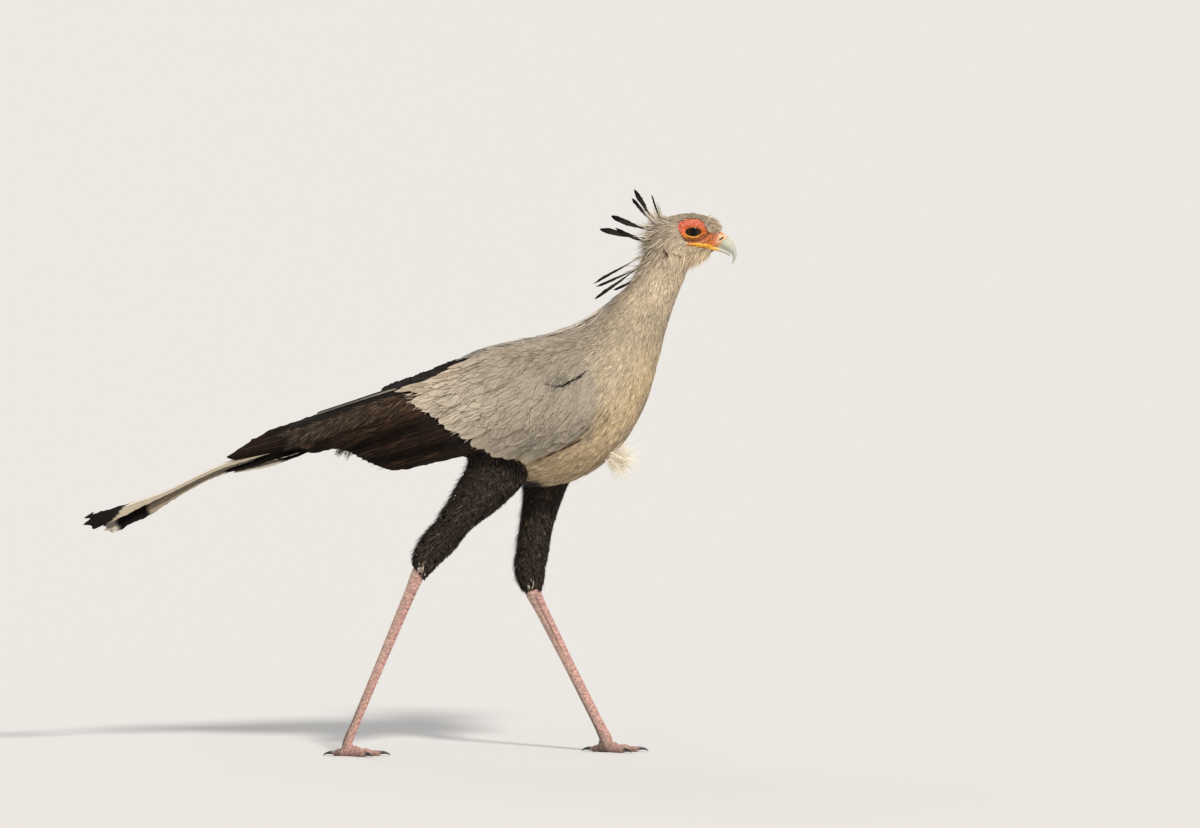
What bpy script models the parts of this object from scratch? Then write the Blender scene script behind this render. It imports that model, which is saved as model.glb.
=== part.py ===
"""A life-size secretary bird, walking, with folded wings: head and bill to +X, left side to +Y."""

import math

import bmesh
import bpy
from mathutils import Vector

# Sizes are in millimetres here and become metres when a mesh is made.
MM = 0.001
GAP = 0.3

GREY = ((0.62, 0.60, 0.56), 0.8)
BLACK = ((0.03, 0.025, 0.022), 0.6)
SKIN = ((0.85, 0.25, 0.1), 0.5)
HORN = ((0.62, 0.68, 0.70), 0.35)
PINK = ((0.75, 0.45, 0.38), 0.6)
EYE = ((0.05, 0.025, 0.015), 0.1)
CLAW = ((0.04, 0.04, 0.045), 0.4)

# A section is (back or upper point x, z), (front or lower point x, z), half width.
BODY_SECTIONS = (
    ((-11, 633), (-15, 583), 26),
    ((50, 672), (36, 541), 50),
    ((111, 706), (104, 519), 65),
    ((172, 721), (169, 480), 73),
    ((225, 731), (242, 472), 75),
    ((270, 744), (312, 495), 71),
    ((309, 762), (368, 544), 62),
    ((337, 784), (409, 616), 51),
    ((358, 803), (431, 691), 41),
    ((376, 822), (444, 744), 35),
    ((388, 845), (459, 791), 31.5),
    ((398, 868), (475, 831), 29),
    ((409, 894), (487, 866), 26),
)
NECK_ROOT_SECTION = 8

HEAD_SECTIONS = (
    ((416, 914), (416, 895), 11),
    ((427, 931), (429, 881), 19),
    ((445, 939.5), (446, 871), 24),
    ((466, 946), (466, 868), 26.5),
    ((487, 948.5), (487, 868), 26),
    ((508, 945.5), (507, 872), 22.5),
    ((523, 939.5), (523, 879), 18),
    ((534, 931), (532, 885), 14),
    ((538, 923), (536, 889), 11.5),
)

BILL_UPPER_SECTIONS = (
    ((522, 921), (522, 896.5), 12.5),
    ((540, 917), (540, 889.5), 11.5),
    ((551, 910.5), (549, 885.5), 10),
    ((560, 902.5), (556, 881.5), 8),
    ((566.3, 892), (560, 878), 6),
    ((569, 880), (561.8, 873), 4),
    ((567.8, 869.5), (561.8, 867), 2.2),
    ((560.8, 859), (559.8, 858.6), 0.6),
)
BILL_LOWER_SECTIONS = (
    ((502, 896), (500, 887), 13.5),
    ((520, 894.5), (518, 884.5), 12),
    ((538, 889.5), (536, 882), 9.5),
    ((549, 885), (547, 878.5), 6.5),
    ((559, 879), (557.5, 873.8), 3),
)

EYE_CENTRE = (493.0, 16.2, 917.5)
EYE_RADIUS = 15.0
EYE_FLATTEN = (1, 0.84, 1)
LID_THICKNESS = 1.6
LID_OPENING = (13.2, 8.2)
ORBIT_HOLLOW = (20.0, 7.5, 14.0)
NOSTRIL = (541.8, 904.6)
NOSTRIL_HALF = (4.8, 3.0, 1.3)
NOSTRIL_TILT = 37
MOUTH_LINE = ((483, 896.3), (495, 897), (508, 896.4), (522, 894.6), (536, 891))
MOUTH_GROOVE = 0.9

# A crest feather: root x, y, z, tip x, y, z, widest half width, roll from flat.
CREST_UPPER = (
    ((425, -4, 937), (390, -9, 991), 3.9, 80),
    ((423, -10, 934), (386, -18, 976), 3.5, 70),
    ((436, 5, 938), (420.5, 8, 981), 2.4, 55),
    ((416, 1, 922), (350, 3, 944), 5.0, 85),
    ((419, -8, 908), (330, -15, 922), 4.6, 80),
    ((419, 9, 898), (357, 17, 922), 3.0, 65),
)
CREST_LOWER = (
    ((407.4, -8, 877), (319, -15, 826.4), 2.8, 75),
    ((390, 7, 853), (323, 14, 819.4), 2.6, 70),
    ((396.6, -3, 858), (321, -7, 799.2), 4.0, 80),
    ((389, 10, 834), (353, 16, 813.4), 2.4, 60),
)
CREST_SINK = 12
CREST_DROOP = 0.035

# The folded wing's side: x, upper edge (y, z), widest point (y, z), lower edge (y, z).
WING_STATIONS = (
    (-323, (5, 527), (8, 524), (8, 520)),
    (-265, (6, 551), (19, 543), (17, 529)),
    (-213, (7, 580), (30, 562), (25, 535)),
    (-143, (7.5, 608), (42, 579), (32, 533)),
    (-73, (8, 635), (54, 588), (41, 513)),
    (-3, (9, 665), (67, 600), (53, 504)),
    (50, (11, 688), (78, 612), (65, 514)),
    (120, (18, 710), (90, 618), (78, 530)),
    (190, (28, 722), (95, 620), (80, 516)),
    (260, (38, 727), (91, 624), (72, 540)),
    (304, (50, 702), (82, 620), (64, 562)),
    (337, (54, 640), (66, 606), (58, 582)),
)
CORE_STATIONS = (-14, 337, 10)
CORE_SPAN = (0.0, 0.88)
CORE_COLUMNS = 5
CORE_DEPTH = (5.6, 8.4)

# Feather tiers, as seen from the side in x and z. Tips run from the lowest feather to the highest.
SECONDARY_COUNT = 9
SECONDARY_TIPS = ((-45, 506), (-78, 518.5), (-110, 530), (-150, 538), (-198, 545), (-238, 558))
SECONDARY_ROOTS = ((150, 552), (110, 608), (62, 664))
SECONDARY_HALF = 13.5
PRIMARY_COUNT = 3
PRIMARY_TIPS = ((-323, 523), (-298, 538), (-268, 551))
PRIMARY_ROOTS = ((0, 606), (0, 632))
PRIMARY_HALF = 13.0
COVERT_COUNT = 10
COVERT_TIPS = (
    (268, 548),
    (196, 514),
    (163, 522),
    (134, 531),
    (112, 543),
    (91, 556),
    (70, 570),
    (50, 583),
    (28, 595),
    (4, 605),
    (-6, 626),
)
COVERT_SLOPES = (24, 40)
COVERT_LENGTH = 84
COVERT_HALF = 14.5
MEDIAN_COUNT = 7
MEDIAN_STEP_BACK = 34
MEDIAN_LENGTH = 66
MEDIAN_HALF = 14.0
SCAPULAR_COUNT = 3
SCAPULAR_TIPS = ((10, 652), (-21, 641), (-51, 631))
SCAPULAR_ROOTS = ((104, 690), (112, 706))
SCAPULAR_HALF = 11.0

# Along a vane: how far from root to tip, and the share of its full width there.
FLIGHT_OUTLINE = ((0, 0.45), (0.1, 0.6), (0.5, 1.0), (0.87, 0.9), (1, 0.25))
COVERT_OUTLINE = ((0, 0.5), (0.16, 0.8), (0.78, 1.0), (1, 0.45))
CREST_OUTLINE = ((0, 0.3), (0.45, 0.38), (0.68, 0.85), (0.86, 1.0), (1, 0.2))
ROOT_SHARE = 0.1
ROOT_LEVEL = -11.5
VANE_EDGE = 0.55
VANE_SHAFT = 0.75
# How high each tier's vanes lie over the wing's face, from root to tip, and how they tilt across.
PRIMARY_LEVELS = (-9.2, -8.8, -6.5, -2.4)
PRIMARY_TILT = 0.05
PRIMARY_STEP = 0.95
SECONDARY_LEVELS = (-4.5, -4.2, -1.2)
SECONDARY_TILT = 0.14
SCAPULAR_LEVELS = (-4.5, -3.0)
SCAPULAR_STEP = 1.0
COVERT_LEVELS = (-0.2, -0.2)
COVERT_TILT = 0.08
MEDIAN_LEVELS = (2.6, 2.6)

# Thigh sections carry their own centre y: back point, front point, half width, centre y.
THIGH_RIGHT = (
    ((88, 545), (212, 530), 27, -38),
    ((100, 515), (199, 482), 27, -40),
    ((81, 475), (155, 436), 25, -43),
    ((47, 418), (105, 398), 21, -44),
    ((16, 379), (76, 362), 18, -43),
    ((3.5, 353), (48, 335), 16, -42),
    ((2.6, 335), (23, 309), 11, -41),
)
THIGH_LEFT = (
    ((164, 525), (300, 525), 27, 38),
    ((190, 485), (282, 485), 27, 40),
    ((196, 452), (269, 458), 25, 42),
    ((191, 405), (248, 398), 21, 42),
    ((183, 350.5), (239, 347), 19, 40),
    ((180, 324), (234, 321), 17, 38),
    ((186, 298), (231, 294), 13, 37),
    ((199, 278), (226.5, 281), 10, 36),
)

# A shank's half depth at its top, middle and lower end.
SHANK_RIGHT = (11.0, 8.6, 7.6)
SHANK_LEFT = (12.0, 9.6, 9.6)
TARSUS_SCUTES = 12
SCUTE_RISE = 0.8
ANKLE_RIGHT = (-112, -37)
ANKLE_LEFT = (340, 36)
ANKLE_HEIGHT = 24
TOE_HALF = 6.2
# Toe: name, angle outward from straight ahead, length to the claw, claw length.
TOES = (
    ("middle", 2, 56, 19),
    ("outer", 38, 40, 16),
    ("inner", -36, 38, 18),
    ("hind", 172, 24, 19),
)

# The tail's centre line: x, z.
TAIL_LINE = ((-20, 614), (-140, 570), (-265, 521), (-328, 497), (-410, 459), (-491, 425), (-572, 394))
# From the uppermost feather down: tip x, half width, side shift at the middle and at the tip, roll at the tip.
TAIL_FEATHERS = (
    (-569.5, 17, -2.5, -1, 38),
    (-541, 17, 2.5, 3, 38),
    (-332, 15, -5, -5, 0),
    (-320, 15, 5, 5, 0),
    (-300, 14, -6.5, -7, 0),
    (-289, 14, 6.5, 7, 0),
    (-268, 13, -7.5, -8, 0),
    (-258, 13, 7.5, 8, 0),
    (-236, 12, -8, -8.5, 0),
    (-228, 12, 8, 8.5, 0),
)
TAIL_LAYER = 1.25
TAIL_ROLL_FROM = -330


def clear_scene():
    for old in list(bpy.data.objects):
        bpy.data.objects.remove(old, do_unlink=True)


def make_material(name, look):
    colour, roughness = look
    material = bpy.data.materials.new(name)
    material.use_nodes = True
    shader = material.node_tree.nodes["Principled BSDF"]
    shader.inputs["Base Color"].default_value = (*colour, 1)
    shader.inputs["Roughness"].default_value = roughness
    shader.inputs["Metallic"].default_value = 0
    return material


def spline(keys, per_span):
    """Points of a smooth curve through the keys, which are tuples of equal length."""
    ends = [keys[0], *keys, keys[-1]]
    points = []
    for i in range(len(keys) - 1):
        a, b, c, d = ends[i : i + 4]
        for step in range(per_span):
            t = step / per_span
            points.append(
                tuple(
                    0.5 * (2 * q + (r - p) * t + (2 * p - 5 * q + 4 * r - s) * t**2 + (3 * q - p - 3 * r + s) * t**3)
                    for p, q, r, s in zip(a, b, c, d)
                )
            )
    points.append(tuple(keys[-1]))
    return points


def new_object(name, vertices, faces, collection, look=None):
    """A mesh object from millimetre points, with its faces turned outward."""
    mesh = bpy.data.meshes.new(name)
    shape = bmesh.new()
    points = [shape.verts.new(Vector(v) * MM) for v in vertices]
    for face in faces:
        shape.faces.new([points[i] for i in face])
    bmesh.ops.recalc_face_normals(shape, faces=shape.faces)
    shape.to_mesh(mesh)
    shape.free()
    thing = bpy.data.objects.new(name, mesh)
    collection.objects.link(thing)
    if look:
        mesh.materials.append(make_material(name, look))
    mesh.shade_smooth()
    return thing


def section_ring(section, sides, grow=0.0):
    """An oval ring through a section's two points, with its half width across y."""
    (back_x, back_z), (front_x, front_z), half_width = section[:3]
    centre_y = section[3] if len(section) > 3 else 0.0
    back, front = Vector((back_x, 0, back_z)), Vector((front_x, 0, front_z))
    centre = (back + front) / 2 + Vector((0, centre_y, 0))
    up = (back - front).normalized()
    reach = (back - front).length / 2 + grow
    ring = []
    for k in range(sides):
        turn = 2 * math.pi * k / sides
        across = Vector((0, (half_width + grow) * math.sin(turn), 0))
        ring.append(centre + up * reach * math.cos(turn) + across)
    return ring


def loft_rings(name, rings, collection, look=None):
    """A closed tube through rings of equal count, with flat ends, split alike wherever it is used."""
    sides = len(rings[0])
    vertices = [point for ring in rings for point in ring]
    faces = []
    for r in range(len(rings) - 1):
        for k in range(sides):
            n = (k + 1) % sides
            near, far, next_near, next_far = r * sides + k, r * sides + n, (r + 1) * sides + k, (r + 1) * sides + n
            faces += [(near, far, next_far), (near, next_far, next_near)]
    faces.append(tuple(range(sides)))
    faces.append(tuple(range((len(rings) - 1) * sides, len(rings) * sides)))
    return new_object(name, vertices, faces, collection, look)


def flatten(sections):
    """Sections as plain tuples of numbers, so that a spline can pass through them."""
    return [(*s[0], *s[1], *s[2:]) for s in sections]


def loft(name, sections, sides, per_span, collection, look=None, grow=0.0):
    """A smooth oval body through the sections. A positive grow makes a clearance cutter."""
    rows = spline(flatten(sections), per_span)
    rings = [section_ring(((a, b), (c, d), *rest), sides, grow) for a, b, c, d, *rest in rows]
    if grow:
        for end, inner in ((0, 1), (-1, -2)):
            push = (centre_of(rings[end]) - centre_of(rings[inner])).normalized() * grow
            rings[end] = [point + push for point in rings[end]]
    return loft_rings(name, rings, collection, look)


def centre_of(ring):
    return sum(ring, Vector()) / len(ring)


def apply_boolean(body, kind, tool_object=None, tool_collection=None, solver="EXACT"):
    modifier = body.modifiers.new(kind, "BOOLEAN")
    modifier.operation = kind
    modifier.solver = solver
    if tool_collection:
        modifier.operand_type = "COLLECTION"
        modifier.collection = tool_collection
    else:
        modifier.object = tool_object
    with bpy.context.temp_override(object=body, active_object=body):
        bpy.ops.object.modifier_apply(modifier=modifier.name)


def keep_largest(body):
    """Keeps the largest closed surface of a mesh and drops loose scraps."""
    shape = bmesh.new()
    shape.from_mesh(body.data)
    shape.faces.ensure_lookup_table()
    unseen = set(shape.faces)
    groups = []
    while unseen:
        front = [unseen.pop()]
        group = list(front)
        while front:
            for edge in front.pop().edges:
                for face in edge.link_faces:
                    if face in unseen:
                        unseen.remove(face)
                        front.append(face)
                        group.append(face)
        groups.append(group)

    def volume(group):
        return abs(sum(face.calc_center_median().dot(face.normal) * face.calc_area() for face in group))

    groups.sort(key=volume, reverse=True)
    extra = [face for group in groups[1:] for face in group]
    bmesh.ops.delete(shape, geom=extra, context="FACES")
    shape.to_mesh(body.data)
    shape.free()


def fuse(body, pieces, solver="EXACT"):
    """Joins the pieces to the body in one union."""
    group = bpy.data.collections.new(body.name + "_pieces")
    bpy.context.scene.collection.children.link(group)
    for piece in pieces:
        for owner in list(piece.users_collection):
            owner.objects.unlink(piece)
        group.objects.link(piece)
    apply_boolean(body, "UNION", tool_collection=group, solver=solver)
    for piece in pieces:
        bpy.data.objects.remove(piece, do_unlink=True)
    bpy.data.collections.remove(group)
    keep_largest(body)


def cut(body, *cutters, solver="EXACT"):
    for cutter in cutters:
        apply_boolean(body, "DIFFERENCE", tool_object=cutter, solver=solver)
    keep_largest(body)


def ball(name, centre, radius, collection, look=None, segments=12, rings=8, stretch=(1, 1, 1)):
    mesh = bpy.data.meshes.new(name)
    shape = bmesh.new()
    bmesh.ops.create_uvsphere(shape, u_segments=segments, v_segments=rings, radius=radius * MM)
    for vertex in shape.verts:
        vertex.co = Vector([a * b for a, b in zip(vertex.co, stretch)]) + Vector(centre) * MM
    shape.to_mesh(mesh)
    shape.free()
    thing = bpy.data.objects.new(name, mesh)
    collection.objects.link(thing)
    if look:
        mesh.materials.append(make_material(name, look))
    mesh.shade_smooth()
    return thing


def wing_row(x):
    """The folded wing's edges and widest point at x, read from a smooth curve through its stations."""
    rows = spline([(s[0], *s[1], *s[2], *s[3]) for s in WING_STATIONS], 8)
    for low, high in zip(rows, rows[1:]):
        if x <= high[0] or high is rows[-1]:
            t = (x - low[0]) / (high[0] - low[0])
            return [a + (b - a) * t for a, b in zip(low[1:], high[1:])]


def wing_point(x, v, side, depth=0.0):
    """A point of the folded wing's outer face: v is 0 at its upper edge and 1 at its lower edge."""
    top_y, top_z, wide_y, wide_z, low_y, low_z = wing_row(x)
    pull_y, pull_z = 2 * wide_y - (top_y + low_y) / 2, 2 * wide_z - (top_z + low_z) / 2
    y = (1 - v) ** 2 * top_y + 2 * v * (1 - v) * pull_y + v**2 * low_y
    z = (1 - v) ** 2 * top_z + 2 * v * (1 - v) * pull_z + v**2 * low_z
    along_y = 2 * (1 - v) * (pull_y - top_y) + 2 * v * (low_y - pull_y)
    along_z = 2 * (1 - v) * (pull_z - top_z) + 2 * v * (low_z - pull_z)
    inward = Vector((0, along_z, -along_y)).normalized()
    point = Vector((x, y, z)) + inward * depth
    return Vector((point.x, side * max(point.y, GAP), point.z))


def on_wing(x, z, height, side):
    """A point above the folded wing's outer face, found by its x and z as seen from the side."""
    x = max(WING_STATIONS[0][0], min(WING_STATIONS[-1][0], x))
    top_y, top_z, wide_y, wide_z, low_y, low_z = wing_row(x)
    pull_y, pull_z = 2 * wide_y - (top_y + low_y) / 2, 2 * wide_z - (top_z + low_z) / 2
    inside = max(low_z, min(top_z, z))
    a, b, c = top_z - 2 * pull_z + low_z, 2 * (pull_z - top_z), top_z - inside
    if abs(a) < 1e-6:
        v = -c / b
    else:
        v = (-b - math.sqrt(max(0.0, b * b - 4 * a * c))) / (2 * a)
    v = max(0.0, min(1.0, v))
    y = (1 - v) ** 2 * top_y + 2 * v * (1 - v) * pull_y + v**2 * low_y
    along_y = 2 * (1 - v) * (pull_y - top_y) + 2 * v * (low_y - pull_y)
    along_z = 2 * (1 - v) * (pull_z - top_z) + 2 * v * (low_z - pull_z)
    if z < low_z:
        y += (z - low_z) * along_y / along_z
    outward = Vector((0, -along_z, along_y)).normalized()
    point = Vector((x, y, z)) + outward * height
    return Vector((point.x, side * max(point.y, GAP), point.z))


def vane(name, point, outline, half_width, collection, tilt=0.0):
    """A feather's vane: point gives its places by the way along, the way across and the height."""
    vertices = []
    for along, share in outline:
        reach = half_width * share
        for across, thick in ((-reach, VANE_EDGE), (0, VANE_SHAFT), (reach, VANE_EDGE)):
            vertices += [point(along, across, tilt * across), point(along, across, tilt * across + thick)]
    faces = []
    for r in range(len(outline) - 1):
        for c in (0, 1):
            for layer in (0, 1):
                near, right = 6 * r + 2 * c + layer, 6 * r + 2 * c + 2 + layer
                faces += [(near, right, right + 6), (near, right + 6, near + 6)]
        for c in (0, 2):
            low = 6 * r + 2 * c
            faces += [(low, low + 1, low + 7), (low, low + 7, low + 6)]
    for end in (0, 6 * (len(outline) - 1)):
        for c in (0, 1):
            low = end + 2 * c
            faces += [(low, low + 1, low + 3), (low, low + 3, low + 2)]
    return new_object(name, vertices, faces, collection)


def at_share(keys, share):
    """The point that far along a list of keys, by straight steps."""
    place = share * (len(keys) - 1)
    low = min(int(place), len(keys) - 2)
    return [a + (b - a) * (place - low) for a, b in zip(keys[low], keys[low + 1])]


def wing_vane(name, side, root, tip, half_width, heights, outline, tilt, collection, sag=0.0):
    """A feather laid on the folded wing, from a root to a tip as seen from the side."""
    root, tip = Vector(root), Vector(tip)
    run = (tip - root).normalized()
    down = Vector((-run.y, run.x))
    if down.y > 0:
        down = -down

    def point(along, across, height):
        centre = root + (tip - root) * along + down * sag * 4 * along * (1 - along)
        level = at_share([(h,) for h in heights], max(0.0, along - ROOT_SHARE) / (1 - ROOT_SHARE))[0]
        if along < ROOT_SHARE:
            level = ROOT_LEVEL
        spot = centre + down * across
        return on_wing(spot.x, spot.y, level + height, side)

    return vane(name, point, outline, half_width, collection, tilt)


def make_wing(name, side, parts):
    """The folded wing: a core under its coverts, and its feathers in overlapping tiers."""
    low, high = CORE_SPAN

    def depth(x):
        return CORE_DEPTH[0] + (CORE_DEPTH[1] - CORE_DEPTH[0]) * max(0.0, min(1.0, (170 - x) / 120))

    rings = []
    for x in even(*CORE_STATIONS):
        thick = 5 + 9 * max(0.0, min(1.0, (x + 10) / 110))
        shares = [low + (high - low) * c / CORE_COLUMNS for c in range(CORE_COLUMNS + 1)]
        outer = [wing_point(x, v, side, depth(x)) for v in shares]
        inner = [wing_point(x, v, side, depth(x) + thick) for v in shares]
        rings.append(outer + inner[::-1])
    wing = loft_rings(name, rings, parts, BLACK)
    feathers = []
    slopes = [math.radians(slope) for slope in COVERT_SLOPES]
    for i in range(PRIMARY_COUNT):
        share = i / (PRIMARY_COUNT - 1)
        ends = at_share(PRIMARY_ROOTS, share), at_share(PRIMARY_TIPS, share)
        levels = [level + PRIMARY_STEP * i for level in PRIMARY_LEVELS]
        spec = (*ends, PRIMARY_HALF, levels, FLIGHT_OUTLINE, PRIMARY_TILT)
        feathers.append(wing_vane(f"{name}_primary_{i}", side, *spec, parts, sag=-4))
    for i in range(SECONDARY_COUNT):
        share = i / (SECONDARY_COUNT - 1)
        ends = at_share(SECONDARY_ROOTS, share), at_share(SECONDARY_TIPS, share)
        spec = (*ends, SECONDARY_HALF, SECONDARY_LEVELS, FLIGHT_OUTLINE, SECONDARY_TILT)
        feathers.append(wing_vane(f"{name}_secondary_{i}", side, *spec, parts, sag=-3))
    for i in range(SCAPULAR_COUNT):
        share = i / (SCAPULAR_COUNT - 1)
        ends = at_share(SCAPULAR_ROOTS, share), at_share(SCAPULAR_TIPS, share)
        levels = [level + SCAPULAR_STEP * i for level in SCAPULAR_LEVELS]
        spec = (*ends, SCAPULAR_HALF, levels, FLIGHT_OUTLINE, SECONDARY_TILT / 2)
        feathers.append(wing_vane(f"{name}_scapular_{i}", side, *spec, parts))
    for i in range(COVERT_COUNT):
        share = i / (COVERT_COUNT - 1)
        tip = at_share(COVERT_TIPS, share)
        slope = slopes[1] + (slopes[0] - slopes[1]) * share
        root = [a + COVERT_LENGTH * b for a, b in zip(tip, (math.cos(slope), math.sin(slope)))]
        spec = (root, tip, COVERT_HALF, COVERT_LEVELS, COVERT_OUTLINE, COVERT_TILT)
        feathers.append(wing_vane(f"{name}_covert_{i}", side, *spec, parts))
    for i in range(MEDIAN_COUNT):
        share = (i + 0.5) / MEDIAN_COUNT
        slope = slopes[1] + (slopes[0] - slopes[1]) * share
        heading = (math.cos(slope), math.sin(slope))
        tip = [a + MEDIAN_STEP_BACK * b for a, b in zip(at_share(COVERT_TIPS, share), heading)]
        root = [a + MEDIAN_LENGTH * b for a, b in zip(tip, heading)]
        spec = (root, tip, MEDIAN_HALF, MEDIAN_LEVELS, COVERT_OUTLINE, COVERT_TILT)
        feathers.append(wing_vane(f"{name}_median_{i}", side, *spec, parts))
    fuse(wing, feathers, solver="MANIFOLD")
    return wing


def tail_point(x):
    """The tail's centre line and its slope at x."""
    rows = spline(TAIL_LINE, 6)
    for high, low in zip(rows, rows[1:]):
        if x >= low[0] or low is rows[-1]:
            share = (high[0] - x) / (high[0] - low[0])
            heading = Vector((low[0] - high[0], 0, low[1] - high[1])).normalized()
            return Vector((x, 0, high[1] + (low[1] - high[1]) * share)), heading


def make_tail(parts):
    """A short core with the closed tail's feathers in layers, the longest pair on top."""
    rings = []
    sides = 12
    for x, half, thick in ((-18, 22, 19), (-45, 24, 14), (-80, 20, 9), (-120, 13, 5)):
        centre, _ = tail_point(x)
        centre.z -= 5
        turns = [2 * math.pi * k / sides for k in range(sides)]
        rings.append([centre + Vector((0, half * math.sin(a), thick * math.cos(a))) for a in turns])
    tail = loft_rings("tail", rings, parts, GREY)
    feathers = []
    for i, (tip_x, half, middle_shift, tip_shift, tip_roll) in enumerate(TAIL_FEATHERS):
        start_x = -60

        def point(along, across, height):
            x = start_x + (tip_x - start_x) * along
            centre, heading = tail_point(x)
            up = Vector((-heading.z, 0, heading.x))
            if up.z < 0:
                up = -up
            shift = middle_shift + (tip_shift - middle_shift) * along
            turn = 0.0
            if tip_roll and x < TAIL_ROLL_FROM:
                turn = tip_roll * min(1.0, (TAIL_ROLL_FROM - x) / 110)
            slope = math.radians(turn)
            side = Vector((0, math.cos(slope), 0)) + up * math.sin(slope)
            rise = up * math.cos(slope) - Vector((0, math.sin(slope), 0))
            offset = Vector((0, shift, 0)) - up * TAIL_LAYER * i
            if turn:
                offset += up * (6.5 if i == 0 else -6.0) * turn / tip_roll
            return centre + offset + side * across + rise * height

        outline = FLIGHT_OUTLINE
        if i < 2:
            outline = ((0, 0.4), (0.2, 0.6), (0.45, 0.62), (0.65, 0.75), (0.82, 0.95), (0.96, 1.0), (1, 0.5))
        feathers.append(vane(f"tail_feather_{i}", point, outline, half, parts))
    fuse(tail, feathers)
    return tail


def crest_vane(name, spec, collection):
    """A crest feather, narrow at its root and widest near its tip."""
    root, tip, half_width, roll = spec
    root, tip = Vector(root), Vector(tip)
    run = (tip - root).normalized()
    root -= run * CREST_SINK
    level = Vector((0, 1, 0)) - run * run.y
    level.normalize()
    upright = run.cross(level)
    turn = math.radians(roll)
    across_way = level * math.cos(turn) + upright * math.sin(turn)
    rise = run.cross(across_way)
    droop = (tip - root).length * CREST_DROOP if run.z > 0 else 0.0

    def point(along, across, height):
        sag = Vector((0, 0, -droop * 4 * along * (1 - along)))
        return root + (tip - root) * along + sag + across_way * across + rise * height

    return vane(name, point, CREST_OUTLINE, half_width, collection)


def even(start, end, count):
    return [start + (end - start) * i / (count - 1) for i in range(count)]


def make_torso(parts, cutters):
    torso = loft("torso", BODY_SECTIONS[: NECK_ROOT_SECTION + 1], 20, 2, parts, GREY)
    return torso, loft("torso_clearance", BODY_SECTIONS[: NECK_ROOT_SECTION + 1], 20, 2, cutters, grow=GAP)


def make_neck(parts):
    sections = BODY_SECTIONS[NECK_ROOT_SECTION:]
    rows = spline(flatten(sections), 2)
    rings = [section_ring(((a, b), (c, d), w), 20) for a, b, c, d, w in rows]
    lift = (centre_of(rings[1]) - centre_of(rings[0])).normalized() * GAP
    rings[0] = [point + lift for point in rings[0]]
    return loft_rings("neck", rings, parts, GREY)


def make_head(parts, cutters):
    head = loft("head", HEAD_SECTIONS, 20, 2, parts, GREY)
    clearance = loft("head_clearance", HEAD_SECTIONS, 20, 2, cutters, grow=GAP)
    return head, clearance


def make_bill(name, sections, parts, cutters):
    bill = loft(name, sections, 12, 2, parts, HORN)
    return bill, loft(name + "_clearance", sections, 12, 2, cutters, grow=GAP)


def elliptic_rod(name, centre, half_x, half_z, length, side, collection):
    """An oval rod from the centre outward along y."""
    rings = []
    for y in (centre[1], centre[1] + length):
        turns = [2 * math.pi * k / 14 for k in range(14)]
        rings.append(
            [Vector((centre[0] + half_x * math.cos(a), side * y, centre[2] + half_z * math.sin(a))) for a in turns]
        )
    return loft_rings(name, rings, collection)


def make_eye(word, side, head, parts, cutters):
    """An eyeball in a hollow orbit, behind lids that stand round its almond opening."""
    x, y, z = EYE_CENTRE
    centre = (x, side * y, z)
    reach = [half / EYE_RADIUS for half in ORBIT_HOLLOW]
    hollow_centre = (x, side * (y + 13.5), z)
    cut(head, ball("orbit_" + word, hollow_centre, EYE_RADIUS, cutters, stretch=reach))
    fuse(head, [ball("lids_" + word, centre, EYE_RADIUS + LID_THICKNESS, parts, stretch=EYE_FLATTEN)])
    socket = ball("socket_" + word, centre, EYE_RADIUS + GAP, cutters, stretch=EYE_FLATTEN)
    opening = elliptic_rod("opening_" + word, (x, y + 3, z), *LID_OPENING, 30, side, cutters)
    cut(head, socket, opening)
    ball("eye_" + word, centre, EYE_RADIUS, parts, EYE, stretch=EYE_FLATTEN)


def head_side(x, z):
    """How far the head's side stands from its middle at x and z."""
    rows = spline(flatten(HEAD_SECTIONS), 2)
    for low, high in zip(rows, rows[1:]):
        if x <= high[0]:
            share = (x - low[0]) / (high[0] - low[0])
            _, top, _, bottom, half = [a + (b - a) * share for a, b in zip(low, high)]
            offset = (z - (top + bottom) / 2) / ((top - bottom) / 2)
            return half * math.sqrt(max(0.0, 1 - offset**2))
    return 0.0


def mouth_groove(name, side, cutters):
    """A thin rod along the mouth's line, half sunk in the side of the head."""
    points = spline(MOUTH_LINE, 2)
    rings = []
    for x, z in points:
        centre = Vector((x, side * head_side(x, z), z))
        turns = [2 * math.pi * k / 5 for k in range(5)]
        rings.append([centre + Vector((0, 1.4 * math.cos(a), math.sin(a))) * MOUTH_GROOVE for a in turns])
    return loft_rings(name, rings, cutters)


def nostril(name, side, cutters):
    """A slanting slot for the nostril."""
    x, z = NOSTRIL
    tilt = math.radians(NOSTRIL_TILT)
    along, up = Vector((math.cos(tilt), 0, math.sin(tilt))), Vector((-math.sin(tilt), 0, math.cos(tilt)))
    rings = []
    for y in (7.5, 15):
        turns = [2 * math.pi * k / 10 for k in range(10)]
        middle = Vector((x, side * y, z))
        half_x, _, half_z = NOSTRIL_HALF
        rings.append([middle + along * half_x * math.cos(a) + up * half_z * math.sin(a) for a in turns])
    return loft_rings(name, rings, cutters)


def make_thigh(name, sections, parts, cutters):
    thigh = loft(name, sections, 16, 2, parts, BLACK)
    return thigh, loft(name + "_clearance", sections, 16, 2, cutters, grow=GAP)


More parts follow.
